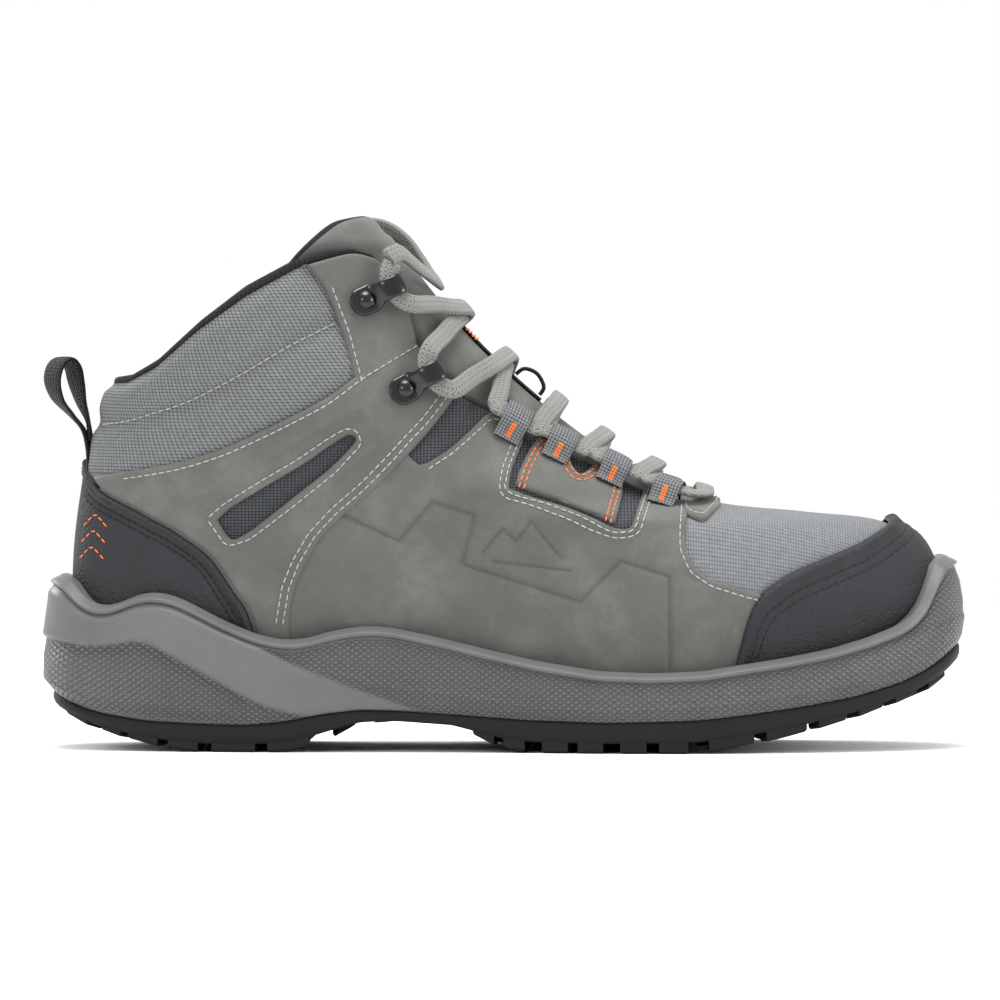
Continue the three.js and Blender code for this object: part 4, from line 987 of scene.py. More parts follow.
def nubuck_finish(name, tone, worn, deep):
    """Nubuck: soft clouds of worn and deep colour, a fine nap, pores and broad creases."""
    material = finish(name, Roughness=0.72, Sheen_Weight=0.12, Sheen_Roughness=0.5)
    tree = material.node_tree
    clouds = noise(tree, 22, 6.0, Roughness=0.65)
    nap = noise(tree, 0.9, 5.0, Roughness=0.7)
    creases = bumped(tree, noise(tree, 30, 3.0, Distortion=0.6), 0.35, 2.2)
    tint = mixed(tree, spread(tree, clouds, 0.3, 0.7), colour(deep), colour(tone))
    tint = mixed(tree, spread(tree, clouds, 0.52, 0.8, 0.0, 0.7), tint, colour(worn))
    tint = dimmed(tree, tint, spread(tree, nap, 0.3, 0.7, 0.93, 1.07))
    return skin(material, tint, bumped(tree, nap, 0.35, 0.12, creases))


nubuck = nubuck_finish("nubuck_grey", "#595a56", "#656661", "#4b4c49")
sewn = {"grey": [], "black": [], "orange": []}


def lower(points, by):
    return [(x, z - by) for x, z in points]


def sew(thread, on, line, lift, *, smooth_line=True):
    """Notes a sewn row for its thread, from map points."""
    flat = spline(line, np.linspace(0, 1, len(line) * 6)) if smooth_line else np.asarray(line, float)
    flat = resample(flat, 2.0)
    base, normals = cast(*on.rays(flat))
    sewn[thread].append(base + normals * lift)


for side in SIDES:
    on = side_maps[side]
    top_run = [(-27, 92), (-30.5, 99), (-18, 116)]
    loop = curved(
        [(-128, 40), (-110, 36), (-60, 24), (40, 20), (86, 24)], QUARTER_FRONT[::-1],
        [(57, 79.8), (45.7, 84.2)],
        NOTCH[1][::-1], NOTCH[0][::-1], QUARTER_TOP, top_run, lower(ANKLE_TOP, 3)[2:-1][::-1],
        [(-131, 84), (-134, 60)],
    )
    window = curved([*WINDOW, WINDOW[0]])
    ridges = [(ZIGZAG, -1.15, 1.2), *[(line, -0.8, 0.8) for line in PEAKS]]
    quarter = panel(
        f"quarter_{side}", on, loop, PANEL_LIFT, LEATHER, nubuck, holes=[window], ridges=ridges, step=1.6
    )
    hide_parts(f"quarter_{side}")
    ankle_loop = curved(
        [(x + 0.8, z + 0.4) for x, z in HEEL_EDGE[3:][::-1]], ANKLE_TOP[2:], [(-26.8, 128.4), (-20.5, 120.5)],
        ANKLE_FRONT,
    )
    ankle = panel(
        f"ankle_overlay_{side}", on, ankle_loop, OVERLAY_LIFT - 0.6, LEATHER + 0.2, nubuck, holes=[window],
        ridges=[(curved(HAIRPIN), 1.0, 2.3)], step=1.6, edge=1.1,
    )
    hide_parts(f"ankle_overlay_{side}")
    facing_loop = curved(
        FACING_SEAM, lower(ANKLE_TOP, 2.4)[-4:-1], [(-29.5, 129), *THROAT[-3:]], COLLAR_TOP[1:5]
    )
    facing = panel(f"facing_{side}", on, facing_loop, PANEL_LIFT + 1.0, LEATHER, nubuck, step=1.6, edge=1.1)
    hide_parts(f"facing_{side}")
    stay = panel(f"eyestay_{side}", on, curved(*EYESTAY), PANEL_LIFT + 0.3, LEATHER, nubuck, step=1.3)
    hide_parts(f"eyestay_{side}")
    top = 2.75
    sew("grey", on, lower(ANKLE_TOP[2:], 2.4), top)
    sew("grey", on, inset(ANKLE_FRONT[:-1], -2.0), top)
    sew("grey", on, inset(ANKLE_FRONT[:-1], -4.2), top)
    sew("grey", on, inset([*WINDOW, WINDOW[0]], 2.2), top)
    sew("grey", on, inset(QUARTER_TOP, 2.0), 1.6)
    sew("grey", on, inset(QUARTER_FRONT, -2.0), 1.6)
    sew("grey", on, inset(FACING_SEAM[1:], 1.8), 2.6)
    for d in (-1.3, -3.1):
        sew("grey", on, inset([*NOTCH[0], *NOTCH[1]], d), 1.65)
    for run in EYESTAY:
        for d in (-1.3, -2.9):
            if len(run) > 2:
                sew("orange", on, inset(run, d), 1.95)

patch_outer = on_last([(57.6, 80.6), (57.6, 77.2), (61, 74.8), (66, 74.9), (70.2, 78.6)], "lateral")
patch_inner = on_last([(70.2, 78.6), (66, 74.9), (61, 74.8), (57.6, 77.2), (57.6, 80.6)], "medial")
patch_around = [*spindle.flat(patch_outer), *spindle.flat(patch_inner)]
patch_loop = curved([*patch_around, patch_around[0]])[:-1]
patch = panel("throat_patch", spindle, patch_loop, PANEL_LIFT + 0.2, LEATHER, nubuck, step=1.6)
rows = [inset(patch_loop, d) for d in (1.4, -1.4)]
patch_row = min(rows, key=lambda row: run_of(row)[-1])
sew("grey", spindle, patch_row, PANEL_LIFT + LEATHER + 0.35, smooth_line=False)
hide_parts("throat_patch")

# ------------------------------------------------------------ the overlays
# Black rubberised guards over the heel and the toe, moulded with a fine pebble grain, a rolled edge and two
# rows of black stitching inside it.
TOE_EDGE = [
    (72.5, 20), (74.8, 30), (77.8, 41.4), (81.3, 49.1), (86.9, 54.1), (94, 58.3), (104.6, 62.5),
    (115.2, 66.6), (122, 70.2), (124.2, 73.6),
]


def pebbled(name, tone, shade):
    """Moulded rubberised film: matt, with small rounded pebbles."""
    material = finish(name, Roughness=0.62)
    tree = material.node_tree
    place = node(tree, "ShaderNodeTexCoord").outputs["Object"]
    cells = node(tree, "ShaderNodeTexVoronoi", {"Vector": place, "Scale": per_mm(0.85)}, feature="SMOOTH_F1")
    tint = mixed(tree, noise(tree, 12, 4.0), colour(shade), colour(tone))
    return skin(material, tint, bumped(tree, cells.outputs["Distance"], 0.9, 0.45, invert=True))


guard = pebbled("rubberised_guard_black", "#2b2c2f", "#202123")
ball = BallMap()
toe_line = np.vstack([on_last(TOE_EDGE, "lateral"), on_last(TOE_EDGE[-2::-1], "medial")])
toe_flat = ball.flat(toe_line)
toe_curve = spline(toe_flat, np.linspace(0, 1, 160))
low_ring = ball.flat(last_point(-0.03, np.linspace(2 * np.pi - 2.25, 2.25, 60)))
toe_loop = np.vstack([toe_curve, low_ring[1:-1]])
toe_guard = panel(
    "toe_overlay", ball, toe_loop, OVERLAY_LIFT - 0.5, LEATHER + 0.4, guard,
    ridges=[
        (inset(toe_curve, -1.4)[2:-2], 0.8, 1.3), (inset(toe_curve, -3.6)[3:-3], -0.4, 0.8),
        (inset(toe_curve, -5.4)[4:-4], -0.4, 0.8),
    ],
    step=1.7, edge=1.2,
)
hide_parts("toe_overlay")
for d in (3.6, 5.4):
    sew("black", ball, inset(toe_curve, -d)[4:-4], 2.55, smooth_line=False)

post = PostMap(-95.0)
heel_line = np.vstack([
    on_last([*HEEL_EDGE[:1:-1], (-150, 100.8)], "lateral"), on_last(HEEL_EDGE[2:], "medial"),
])
heel_curve = spline(post.flat(heel_line), np.linspace(0, 1, 180))
heel_loop = np.vstack([heel_curve, [(-60, 20), (0, 18), (60, 20)]])
heel_guard = panel(
    "heel_overlay", post, heel_loop, OVERLAY_LIFT - 0.5, LEATHER + 0.4, guard,
    ridges=[
        (inset(heel_curve, 1.4), 0.8, 1.3), (inset(heel_curve, 3.6), -0.4, 0.8),
        (inset(heel_curve, 5.4), -0.4, 0.8)
    ],
    step=1.7, edge=1.2,
)
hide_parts("heel_overlay")
HEEL_ROW_TOP = 92.5
for d in (3.6, 5.4):
    row = inset(heel_curve, d)[3:-3]
    row = row[row[:, 1] < HEEL_ROW_TOP]
    for part in (row[row[:, 0] > 0], row[row[:, 0] < 0]):
        sew("black", post, part, 2.7, smooth_line=False)
# Plain orange chevrons, embroidered on the outer side of the heel.
for k in range(3):
    z = 62 + k * 5.2
    sew("orange", post, [(13, z), (17, z + 3.6), (21, z)], 2.9, smooth_line=False)

# ------------------------------------------------------------ the stitching
# Bonded thread, a stitch about every three millimetres. Each stitch is one small rounded grain of thread.
for side in SIDES:
    sew("grey", side_maps[side], QUILT[1:-1], 0.35)


def grain_maker():
    """A node group that lays grains end to end along the edges of a mesh."""
    group = bpy.data.node_groups.new("lay_grains", "GeometryNodeTree")
    face = group.interface
    face.new_socket("Geometry", in_out="INPUT", socket_type="NodeSocketGeometry")
    for label in ("Pitch", "Length", "Width"):
        face.new_socket(label, in_out="INPUT", socket_type="NodeSocketFloat")
    face.new_socket("Material", in_out="INPUT", socket_type="NodeSocketMaterial")
    face.new_socket("Geometry", in_out="OUTPUT", socket_type="NodeSocketGeometry")
    given = group.nodes.new("NodeGroupInput")
    curve = node(group, "GeometryNodeMeshToCurve", {"Mesh": given.outputs["Geometry"]})
    dots = node(
        group, "GeometryNodeCurveToPoints", {"Curve": curve.outputs[0], "Length": given.outputs["Pitch"]},
        mode="LENGTH"
    )
    grain = node(group, "GeometryNodeMeshUVSphere", {"Segments": 8, "Rings": 6, "Radius": 0.5})
    size = node(
        group, "ShaderNodeCombineXYZ", {
            0: given.outputs["Width"], 1: given.outputs["Width"], 2: given.outputs["Length"]
        },
    )
    turned = node(group, "FunctionNodeAlignRotationToVector", {"Vector": dots.outputs["Tangent"]}, axis="Z")
    laid = node(
        group, "GeometryNodeInstanceOnPoints",
        {
            "Points": dots.outputs[0], "Instance": grain.outputs[0], "Rotation": turned.outputs[0],
            "Scale": size.outputs[0]
        },
    )
    real = node(group, "GeometryNodeRealizeInstances", {"Geometry": laid.outputs[0]})
    soft = node(group, "GeometryNodeSetShadeSmooth", {"Geometry": real.outputs[0]})
    done = node(
        group, "GeometryNodeSetMaterial", {"Geometry": soft.outputs[0], "Material": given.outputs["Material"]}
    )
    out = group.nodes.new("NodeGroupOutput")
    group.links.new(done.outputs[0], out.inputs[0])
    return group


lay_grains = grain_maker()


def grains(name, lines, pitch, length, width, material, body=BODY):
    """Rows of grains along lines in millimetres, as one plain mesh."""
    places, edges = [], []
    for line in lines:
        start = len(places)
        places += (np.asarray(line) * MM).tolist()
        edges += [(start + k, start + k + 1) for k in range(len(line) - 1)]
    guide_mesh = bpy.data.meshes.new(name + "_guide")
    guide_mesh.from_pydata(places, edges, [])
    guide = placed(name + "_guide", guide_mesh)
    maker = guide.modifiers.new("grains", "NODES")
    maker.node_group = lay_grains
    ids = {item.name: item.identifier for item in lay_grains.interface.items_tree if item.in_out == "INPUT"}
    maker[ids["Pitch"]], maker[ids["Length"]], maker[ids["Width"]] = pitch * MM, length * MM, width * MM
    maker[ids["Material"]] = material
    view = bpy.context.evaluated_depsgraph_get()
    mesh = bpy.data.meshes.new_from_object(guide.evaluated_get(view))
    mesh.name = name
    bpy.data.objects.remove(guide)
    obj = placed(name, mesh)
    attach(obj, body)
    return obj


# Bonded polyester thread: a slight sheen.
threads = {}
for tone, hexa in (("grey", "#9b9c97"), ("black", "#17181a"), ("orange", "#f0702a")):
    threads[tone] = finish(f"thread_{tone}", hexa, Roughness=0.5)
for tone, lines in sewn.items():
    rows_of = grains(f"stitches_{tone}", lines, 2.6, 2.15, 0.46, threads[tone])

# ------------------------------------------------------------ the tongue
# A foam pad faced with nubuck and backed with the dark knit, which rolls over its edge. The tip stands
# above the top lace. The real tip folds forward as the foot goes in; here it is one fixed shape.
TONGUE_SIDE = [(62, 76.5), (40, 77), (22, 80), (2, 88), (-22, 104), (-44, 124), (-58, 142), (-66, 155)]
TONGUE_TOP = [
    (-68, 157), (-66.5, 158.5), (-62, 164), (-53, 171.6), (-46, 174.2), (-41.5, 174.2), (-37, 169.6)
]
TONGUE_PAD = 5.0
side_at = np.array([locate(x, z, "lateral") for x, z in TONGUE_SIDE])
tongue_cols, tongue_long = 61, 150
across = np.linspace(-1, 1, tongue_cols)


def tongue_angle(h, share):
    half = np.interp(h, side_at[:, 0], np.pi - side_at[:, 1])
    return np.pi - share * half


def ring_at(x):
    """The ring whose front end is at this x."""
    low, high = 0.3, H_HIGH
    for _ in range(30):
        h = (low + high) / 2
        if spline(FRONT_LINE, (h - H_LOW) / (H_HIGH - H_LOW))[0] > x:
            low = h
        else:
            high = h
    return low


tip_line = spline(TONGUE_TOP, np.linspace(0, 1, 60))
tongue_end = find_ring(tip_line, np.full(tongue_cols, 0.7), lambda h: tongue_angle(h, across))
tongue_start = ring_at(62)
face_rows, back_rows, tongue_uv = [], [], []
for t in np.linspace(0, 1, tongue_long):
    h = mix(tongue_start, tongue_end, t)
    angle = tongue_angle(h, across)
    p, n = last_point(h, angle), last_normal(h, angle)
    from_side = (1 - np.abs(across)) * np.interp(h, side_at[:, 0], np.pi - side_at[:, 1]) * 40
    from_top = np.linalg.norm(p - last_point(tongue_end, tongue_angle(tongue_end, across)), axis=1)
    away = np.minimum(from_side, from_top)
    full = np.sqrt(np.clip(1 - (1 - np.minimum(away / 4.5, 1)) ** 2, 0, 1))
    gap = np.interp(p[:, 2], [q[1] for q in THROAT], [q[0] for q in THROAT])
    rise = 4.4 * smooth(-1.0, 5.0, p[:, 0] - gap) + 1.0 * smooth(158, 165, p[:, 2]) * 3.4
    rise = np.minimum(rise, 4.4)
    inner = lining_face(h, angle) - 1.3
    middle = inner - TONGUE_PAD / 2 + rise / 2 + 0.3
    thick = (TONGUE_PAD + rise) / 2 * 0.98
    face_rows.append(p + n * (middle + thick * full)[:, None])
    back_rows.append(p + n * (middle - thick * full)[:, None])
    tongue_uv.append(np.column_stack([(np.pi - angle) * 40, np.full(tongue_cols, t * 150.0)]))
face_rows, back_rows = np.array(face_rows), np.array(back_rows)
tongue_places = np.concatenate([face_rows.reshape(-1, 3), back_rows.reshape(-1, 3)])
count = tongue_cols * tongue_long
one = grid_faces(tongue_long, tongue_cols)
tongue_faces = [*one.tolist(), *(one[:, ::-1] + count).tolist()]
sides_of = np.concatenate([np.zeros(len(one), int), np.ones(len(one), int)])
cell_r, cell_c = np.divmod(np.arange(len(one)), tongue_cols - 1)
border = (cell_c < 1) | (cell_c > tongue_cols - 3) | (cell_r > tongue_long - 4)
sides_of[: len(one)][border] = 1
uv = np.concatenate([np.array(tongue_uv).reshape(-1, 2)] * 2)
tongue = make("tongue_pad", tongue_places, tongue_faces, uv, nubuck, body=None)
tongue.data.materials.append(knit)
tongue.data.polygons.foreach_set("material_index", sides_of.astype(np.int32))
face_out(tongue, weld=0.02)
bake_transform(tongue)
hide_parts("tongue", "tongue_tip")


def on_front(x, turn, lift):
    """A place over the front of the boot and the normal there, a turn away from the middle."""
    h = ring_at(x)
    angle = np.pi - turn
    n = last_normal(h, angle)
    return last_point(h, angle) + n * lift, n


# ------------------------------------------------------------ the webbing
# Narrow woven tape: a strip down the tongue with an orange tracer, the pull loop at the heel and a small
# keeper that holds the laces central.
def section_loop(width, thick, sides, power=0.75):
    """Points round a flattened tube's section: across and out."""
    a = np.linspace(0, 2 * np.pi, sides, endpoint=False)
    c, s = np.cos(a), np.sin(a)
    return np.column_stack(
        [np.sign(c) * np.abs(c) ** power * width / 2, np.sign(s) * np.abs(s) ** 0.6 * thick / 2]
    )


def centripetal(points, step):
    """A smooth line through uneven points, sampled about every step."""
    p = np.asarray(points, float)
    p = np.vstack([2 * p[0] - p[1], p, 2 * p[-1] - p[-2]])
    knots = np.concatenate(
        [[0], np.cumsum(np.sqrt(np.maximum(1e-6, np.linalg.norm(np.diff(p[:, :3], axis=0), axis=1))))]
    )
    out = []
    for i in range(1, len(p) - 2):
        t0, t1, t2, t3 = knots[i - 1 : i + 3]
        count = max(1, int(round(np.linalg.norm(p[i + 1, :3] - p[i, :3]) / step)))
        for t in np.linspace(t1, t2, count, endpoint=False):
            a1 = (t1 - t) / (t1 - t0) * p[i - 1] + (t - t0) / (t1 - t0) * p[i]
            a2 = (t2 - t) / (t2 - t1) * p[i] + (t - t1) / (t2 - t1) * p[i + 1]
            a3 = (t3 - t) / (t3 - t2) * p[i + 1] + (t - t2) / (t3 - t2) * p[i + 2]
            b1 = (t2 - t) / (t2 - t0) * a1 + (t - t0) / (t2 - t0) * a2
            b2 = (t3 - t) / (t3 - t1) * a2 + (t - t1) / (t3 - t1) * a3
            out.append((t2 - t) / (t2 - t1) * b1 + (t - t1) / (t2 - t1) * b2)
    return np.array([*out, p[-2]])


def sweep(line, section, widths):
    """Rings of a section along a line of places and normals, and the faces of the closed tube."""
    places, ups = line[:, :3], line[:, 3:]
    along = unit(np.gradient(places, axis=0))
    ups = unit(ups - along * (ups * along).sum(axis=1, keepdims=True))
    across = np.cross(along, ups)[:, None] * section[None, :, :1] * widths[:, None, None]
    rings = places[:, None] + across + ups[:, None] * section[None, :, 1:]
    sides = len(section)
    end = (len(rings) - 1) * sides
    faces = grid_faces(len(rings), sides, wrap=True, flip=True).tolist()
    return rings, [*faces, list(range(sides)), [end + k for k in reversed(range(sides))]]


def band(name, route, width, thick, material, step=1.0, body=BODY):
    """A flat tape or lace along a route of places and normals, with its path and its length."""
    line = centripetal([[*at, *up] for at, up in route], step)
    section = section_loop(width, thick, 14)
    rings, faces = sweep(line, section, np.ones(len(line)))
    run = run_of(line[:, :3])
    uv = np.stack(np.meshgrid(run_of(section), run), -1)
    obj = make(name, rings.reshape(-1, 3), faces, uv.reshape(-1, 2), material, body=body)
    face_out(obj)
    return obj, line[:, :3], run[-1]


black_tape = cloth("woven_tape_black", "#1a1b1d", "#070708", 1.8, 0.45, rough=0.7, across=0.6)
strip_route = [on_front(x, 0, 0.55) for x in (12, 6, 0, -6, -12, -16.5)]
strip, _, _ = band("tongue_tape", strip_route, 13, 1.3, black_tape)
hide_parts("tongue_strip")
orange_thread = threads["orange"]
tracer_lines = []
for shift in (-0.5, 0.5):
    for x in (-9.5, -11.5):
        tracer_lines.append(
            np.array([on_front(x + shift * 0.9, s * 0.16, 1.45)[0] for s in np.linspace(-1, 1, 9)])
        )
tracer = grains("tongue_tracer", tracer_lines, 1.5, 1.4, 0.6, orange_thread)
keeper_route = [
    on_front(x, 0, lift) for x, lift in ((11, 1.7), (10.6, 4.4), (7, 6.4), (3.8, 4.8), (3.2, 1.7))
]
keeper, _, _ = band("keeper_tape", keeper_route, 6, 1.3, black_tape, step=0.6)
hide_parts("lace_keeper")

# The pull loop in side view, from its root up the back strand, over, and down the front strand, with how
# far the tape has turned about an upright axis at each point.
PULL = [
    (-134.4, 90, 0), (-134.8, 97, 0), (-136.2, 103, 0), (-140.2, 108, 8), (-144.9, 113.2, 20),
    (-147, 119.4, 28),
    (-145.4, 124.6, 30), (-142.4, 126.2, 30), (-139.8, 123.8, 30), (-138.4, 118.6, 28), (-136.9, 112.4, 18),
    (-135, 106.8, 6), (-134.3, 103, 0), (-133.9, 99.6, 0),
]
PULL_AXIS = -140.5
pull_side = np.array(PULL)[:, :2]
pull_along = unit(np.gradient(pull_side, axis=0))
pull_route = []
for (x, z, turn), (tx, tz) in zip(PULL, pull_along):
    cos, sin = math.cos(math.radians(turn)), math.sin(math.radians(turn))
    at = (PULL_AXIS + (x - PULL_AXIS) * cos, (x - PULL_AXIS) * sin, z)
    pull_route.append((at, (-tz * cos, -tz * sin, tx)))
pull, _, _ = band("pull_loop_tape", pull_route, 12, 1.6, black_tape, step=0.8, body=None)
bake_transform(pull)
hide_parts("pull_loop_root", "pull_loop")

# ------------------------------------------------------------ the lace loops
# Speckled grey tape, folded round the lace and sewn under the edge of the quarter with an orange bar.
LOOPS = [(2.6, 104.6, 0.9, 3.2), (17.6, 97, 0.5, 3), (34.8, 88.4, 0.6, 2.8), (52.4, 79.8, 1.4, 1.4)]
LACE_WIDTH, LACE_THICK = 6.2, 2.2
CAD_LACE, LOOP_WALL, LOOP_ROOM, LOOP_LENGTH = 1.8, 1.0, 0.9, 9
LOOP_LIFT = PANEL_LIFT + LEATHER + 0.3
LACE_LIFT = LOOP_LIFT + LOOP_WALL + LOOP_ROOM + CAD_LACE / 2
# The tape's dark speckle is drawn as painted shade in the gaps of its weave, with random flecks of tone.
loop_tape = cloth("speckled_tape", "#6f7173", "#17181a", 1.05, 0.35, rough=0.8)


class Seat:
    """A frame on the last: u runs towards a second point, w straight out, v across."""

    def __init__(self, at, to, side):
        here, there = locate(*at, side), locate(*to, side)
        self.origin, self.w = last_point(*here), last_normal(*here)
        u = last_point(*there) - self.origin
        self.u = unit(u - self.w * (u @ self.w))
        self.v = np.cross(self.w, self.u)

    def at(self, du, dv, dw):
        return self.origin + self.u * du + self.v * dv + self.w * dw


loop_seats = {}
bar_lines = []
BAR_ROWS = slice(2, 9)
for side in SIDES:
    loop_seats[side] = []
    for i, (x, z, lift, slope) in enumerate(LOOPS):
        seat = Seat((x, z), (x + 6, z - slope), side)
        seat.origin = seat.origin + seat.w * lift
        loop_seats[side].append(seat)
        half_w, mid = LACE_WIDTH / 2 + 1.2, LACE_LIFT
        best = min((1, -1), key=lambda s: seat.at(0, s * 8, 0)[2])
        body_line = [seat.at(0, best * 7.9, 1.9 - lift), seat.at(0, best * 5.9, 2.5 - lift * 0.5)]
        loop_route = [(p, seat.w) for p in body_line]
        around = []
        for turns, room in ((np.linspace(0.25, 1.0, 5), 1.1), (np.array([1.25, 1.5, 1.75]), 0.9)):
            for a in turns * np.pi:
                over, up = best * math.cos(a), math.sin(a)
                place = seat.at(0, over * half_w, mid + up * (LACE_THICK / 2 + room))
                around.append((place, seat.v * over + seat.w * up))
        piece, tape, _ = band(
            f"loop_tape_{side}_{i + 1}", loop_route + around, LOOP_LENGTH, 1.1, loop_tape, step=0.7
        )
        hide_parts(f"lace_loop_{side}_{i + 1}")
        out = np.cross(np.gradient(tape, axis=0), seat.u)
        out = unit(out * np.sign(out[BAR_ROWS.start] @ seat.w))
        for du in (-0.4, 0.4):
            bar_lines.append((tape + out * 0.6 + seat.u * du)[BAR_ROWS])
bars = grains("loop_bars", bar_lines, 0.85, 1.1, 0.75, orange_thread)

# ------------------------------------------------------------ the hooks
# Stamped steel with gloss black paint: a foot plate riveted through the facing, and a tongue that curls
# back over it to hold the lace.
HOOKS = [("upper", (-44.9, 144.1), (-34.4, 148.6)), ("lower", (-31.7, 115.7), (-21.1, 121.0))]
HOOK_LIFT = 3.3
black_paint = finish("gloss_black_paint", "#08080a", Roughness=0.2, Specular_IOR_Level=0.35, Coat_Weight=0.15)
HOOK_SIDE = [
    (-5.8, 0.7), (-3, 0.8), (0, 0.8), (2.2, 1.1), (3.8, 2.7), (5.4, 4.9), (8.2, 5.9), (11.2, 5.6), (13.0, 4.2)
]
hook_seats = {}
for side in SIDES:
    for label, rivet_at, tip_at in HOOKS:
        seat = Seat(rivet_at, tip_at, side)
        hook_seats[side, label] = seat
        route = []
        for k, (du, dw) in enumerate(HOOK_SIDE):
            a, b = HOOK_SIDE[max(0, k - 1)], HOOK_SIDE[min(len(HOOK_SIDE) - 1, k + 1)]
            su, sw = b[0] - a[0], b[1] - a[1]
            up = seat.w * su - seat.u * sw
            route.append((seat.at(du, 0, HOOK_LIFT + dw), up))
        line = centripetal([[*at, *up] for at, up in route], 0.6)
        share = np.linspace(0, 1, len(line))
        wide = 9.4 - 2.6 * smooth(0.36, 0.55, share)
        wide *= np.sqrt(np.clip(1 - (1 - np.minimum(share / 0.2, 1)) ** 2, 0.06, 1))
        wide *= np.sqrt(np.clip(1 - (1 - np.minimum((1 - share) / 0.1, 1)) ** 2, 0.3, 1))
        rings, faces = sweep(line, section_loop(1, 1.5, 16, power=0.5), wide)
        hook = make(f"hook_{side}_{label}_plate", rings.reshape(-1, 3), faces, None, black_paint)
        profile = [(0.0, 3.0), (1.2, 2.8), (2.2, 2.2), (2.9, 1.3), (3.1, 0.6), (3.1, -0.2)]
        turned = []
        for r, dw in profile:
            for a in np.linspace(0, 2 * np.pi, 20, endpoint=False):
                turned.append(seat.at(r * math.cos(a) - 0.2, r * math.sin(a), HOOK_LIFT + 0.9 + dw * 0.75))
        dome = make(
            f"rivet_{side}_{label}_dome", turned, grid_faces(len(profile), 20, wrap=True, flip=True), None,
            black_paint,
        )
        for obj in (hook, dome):
            face_out(obj, weld=0.01)
        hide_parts(f"hook_{side}_{label}")
        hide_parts(f"rivet_{side}_{label}")

# ------------------------------------------------------------ the lace
# One flat grey braid, threaded through four pairs of loops and two pairs of hooks. Both ends hang down the
# inner side of the shaft and are finished with clear plastic tips.
UNDER, OVER = 3.0, 5.6
CROSSINGS = [48, 31, 15.5, -1]
HOOK_CROSSING = -15.5
HALF_LOOP = LOOP_LENGTH / 2 + 2.8


def other(side):
    return "medial" if side == "lateral" else "lateral"


def in_loop(side, i, shift):
    seat = loop_seats[side][i]
    return seat.at(shift, 0, LACE_LIFT), seat.w


def round_hook(side, label):
    seat = hook_seats[side, label]
    sign = 1 if side == "lateral" else -1
    path = ((12.6, -7.4), (10.2, -5.2), (8.7, -1.9), (8.7, 1.9), (10.2, 5.2), (12.6, 7.4))
    return [(seat.at(du, dv * sign, HOOK_LIFT + 3.3), seat.w) for du, dv in path]


def crossing(start, end, x, lift):
    """Points over the tongue between two stops, one beside the crossing on each side."""
    top, up = on_front(x, 0, lift)
    face = top - up * lift

    def beside(stop, share):
        at, w = stop
        place = mix(face, at - w * LACE_LIFT, share)
        where = locate(place[0], place[2], "lateral" if at[1] < 0 else "medial")
        n = last_normal(*where)
        return last_point(*where) + n * mix(lift, LACE_LIFT, share), n

    return [beside(start, 0.65), beside(start, 0.3), (top, up), beside(end, 0.3), beside(end, 0.65)]


def strand(side, lift):
    """One strand of the lacing, from the toe end up to a top hook."""
    stops = []
    for k in range(len(LOOPS)):
        stops.append([in_loop(side, len(LOOPS) - 1 - k, t * HALF_LOOP) for t in (1, 0.76, 0, -0.76, -1)])
        side = other(side)
    stops.append(round_hook(side, "lower"))
    side = other(side)
    stops.append(round_hook(side, "upper"))
    tops = [*CROSSINGS, HOOK_CROSSING]
    route = []
    for k, stop in enumerate(stops):
        route += stop
        if k < len(tops):
            route += crossing(stop[-1], stops[k + 1][0], tops[k], OVER + UNDER - lift if k % 2 else lift)
    return route


bar = [
    on_front(x, turn, 3.9) for x, turn in ((73.4, 0.42), (67, 0.22), (64.6, 0), (67, -0.22), (73.4, -0.42))
]
lace_route = [*strand("lateral", UNDER)[::-1], *bar, *strand("medial", OVER)]
RIB = 1.7  # from one edge of the braid's pattern to its middle


def braided(name, light, dark):
    """Flat polyester braid: herringbone strands that lean towards the middle from both edges, with painted
    shade between the strands.
    """
    material = finish(name, Roughness=0.75, Sheen_Weight=0.2)
    tree = material.node_tree
    u, v = uv_ways(tree)
    column = maths(tree, "PINGPONG", u, RIB * MM)
    strands = arches(tree, maths(tree, "MULTIPLY_ADD", column, 0.9, v), math.pi / (1.25 * MM))
    rib = maths(tree, "SINE", maths(tree, "MULTIPLY", column, math.pi / (RIB * MM)))
    both = maths(tree, "MULTIPLY_ADD", rib, 0.5, strands)
    # Painted shade: the braid darkens towards its second colour in the low lines between strands and ribs.
    tint = mixed(tree, spread(tree, both, 0.1, 0.8), colour(dark), colour(light))
    return skin(material, tint, bumped(tree, both, 0.8, 0.3))


braid = braided("braided_lace_grey", "#71726d", "#2f302e")
lace, _, _ = band("lace_braid", lace_route, LACE_WIDTH, LACE_THICK, braid, step=0.9)
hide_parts("lace")

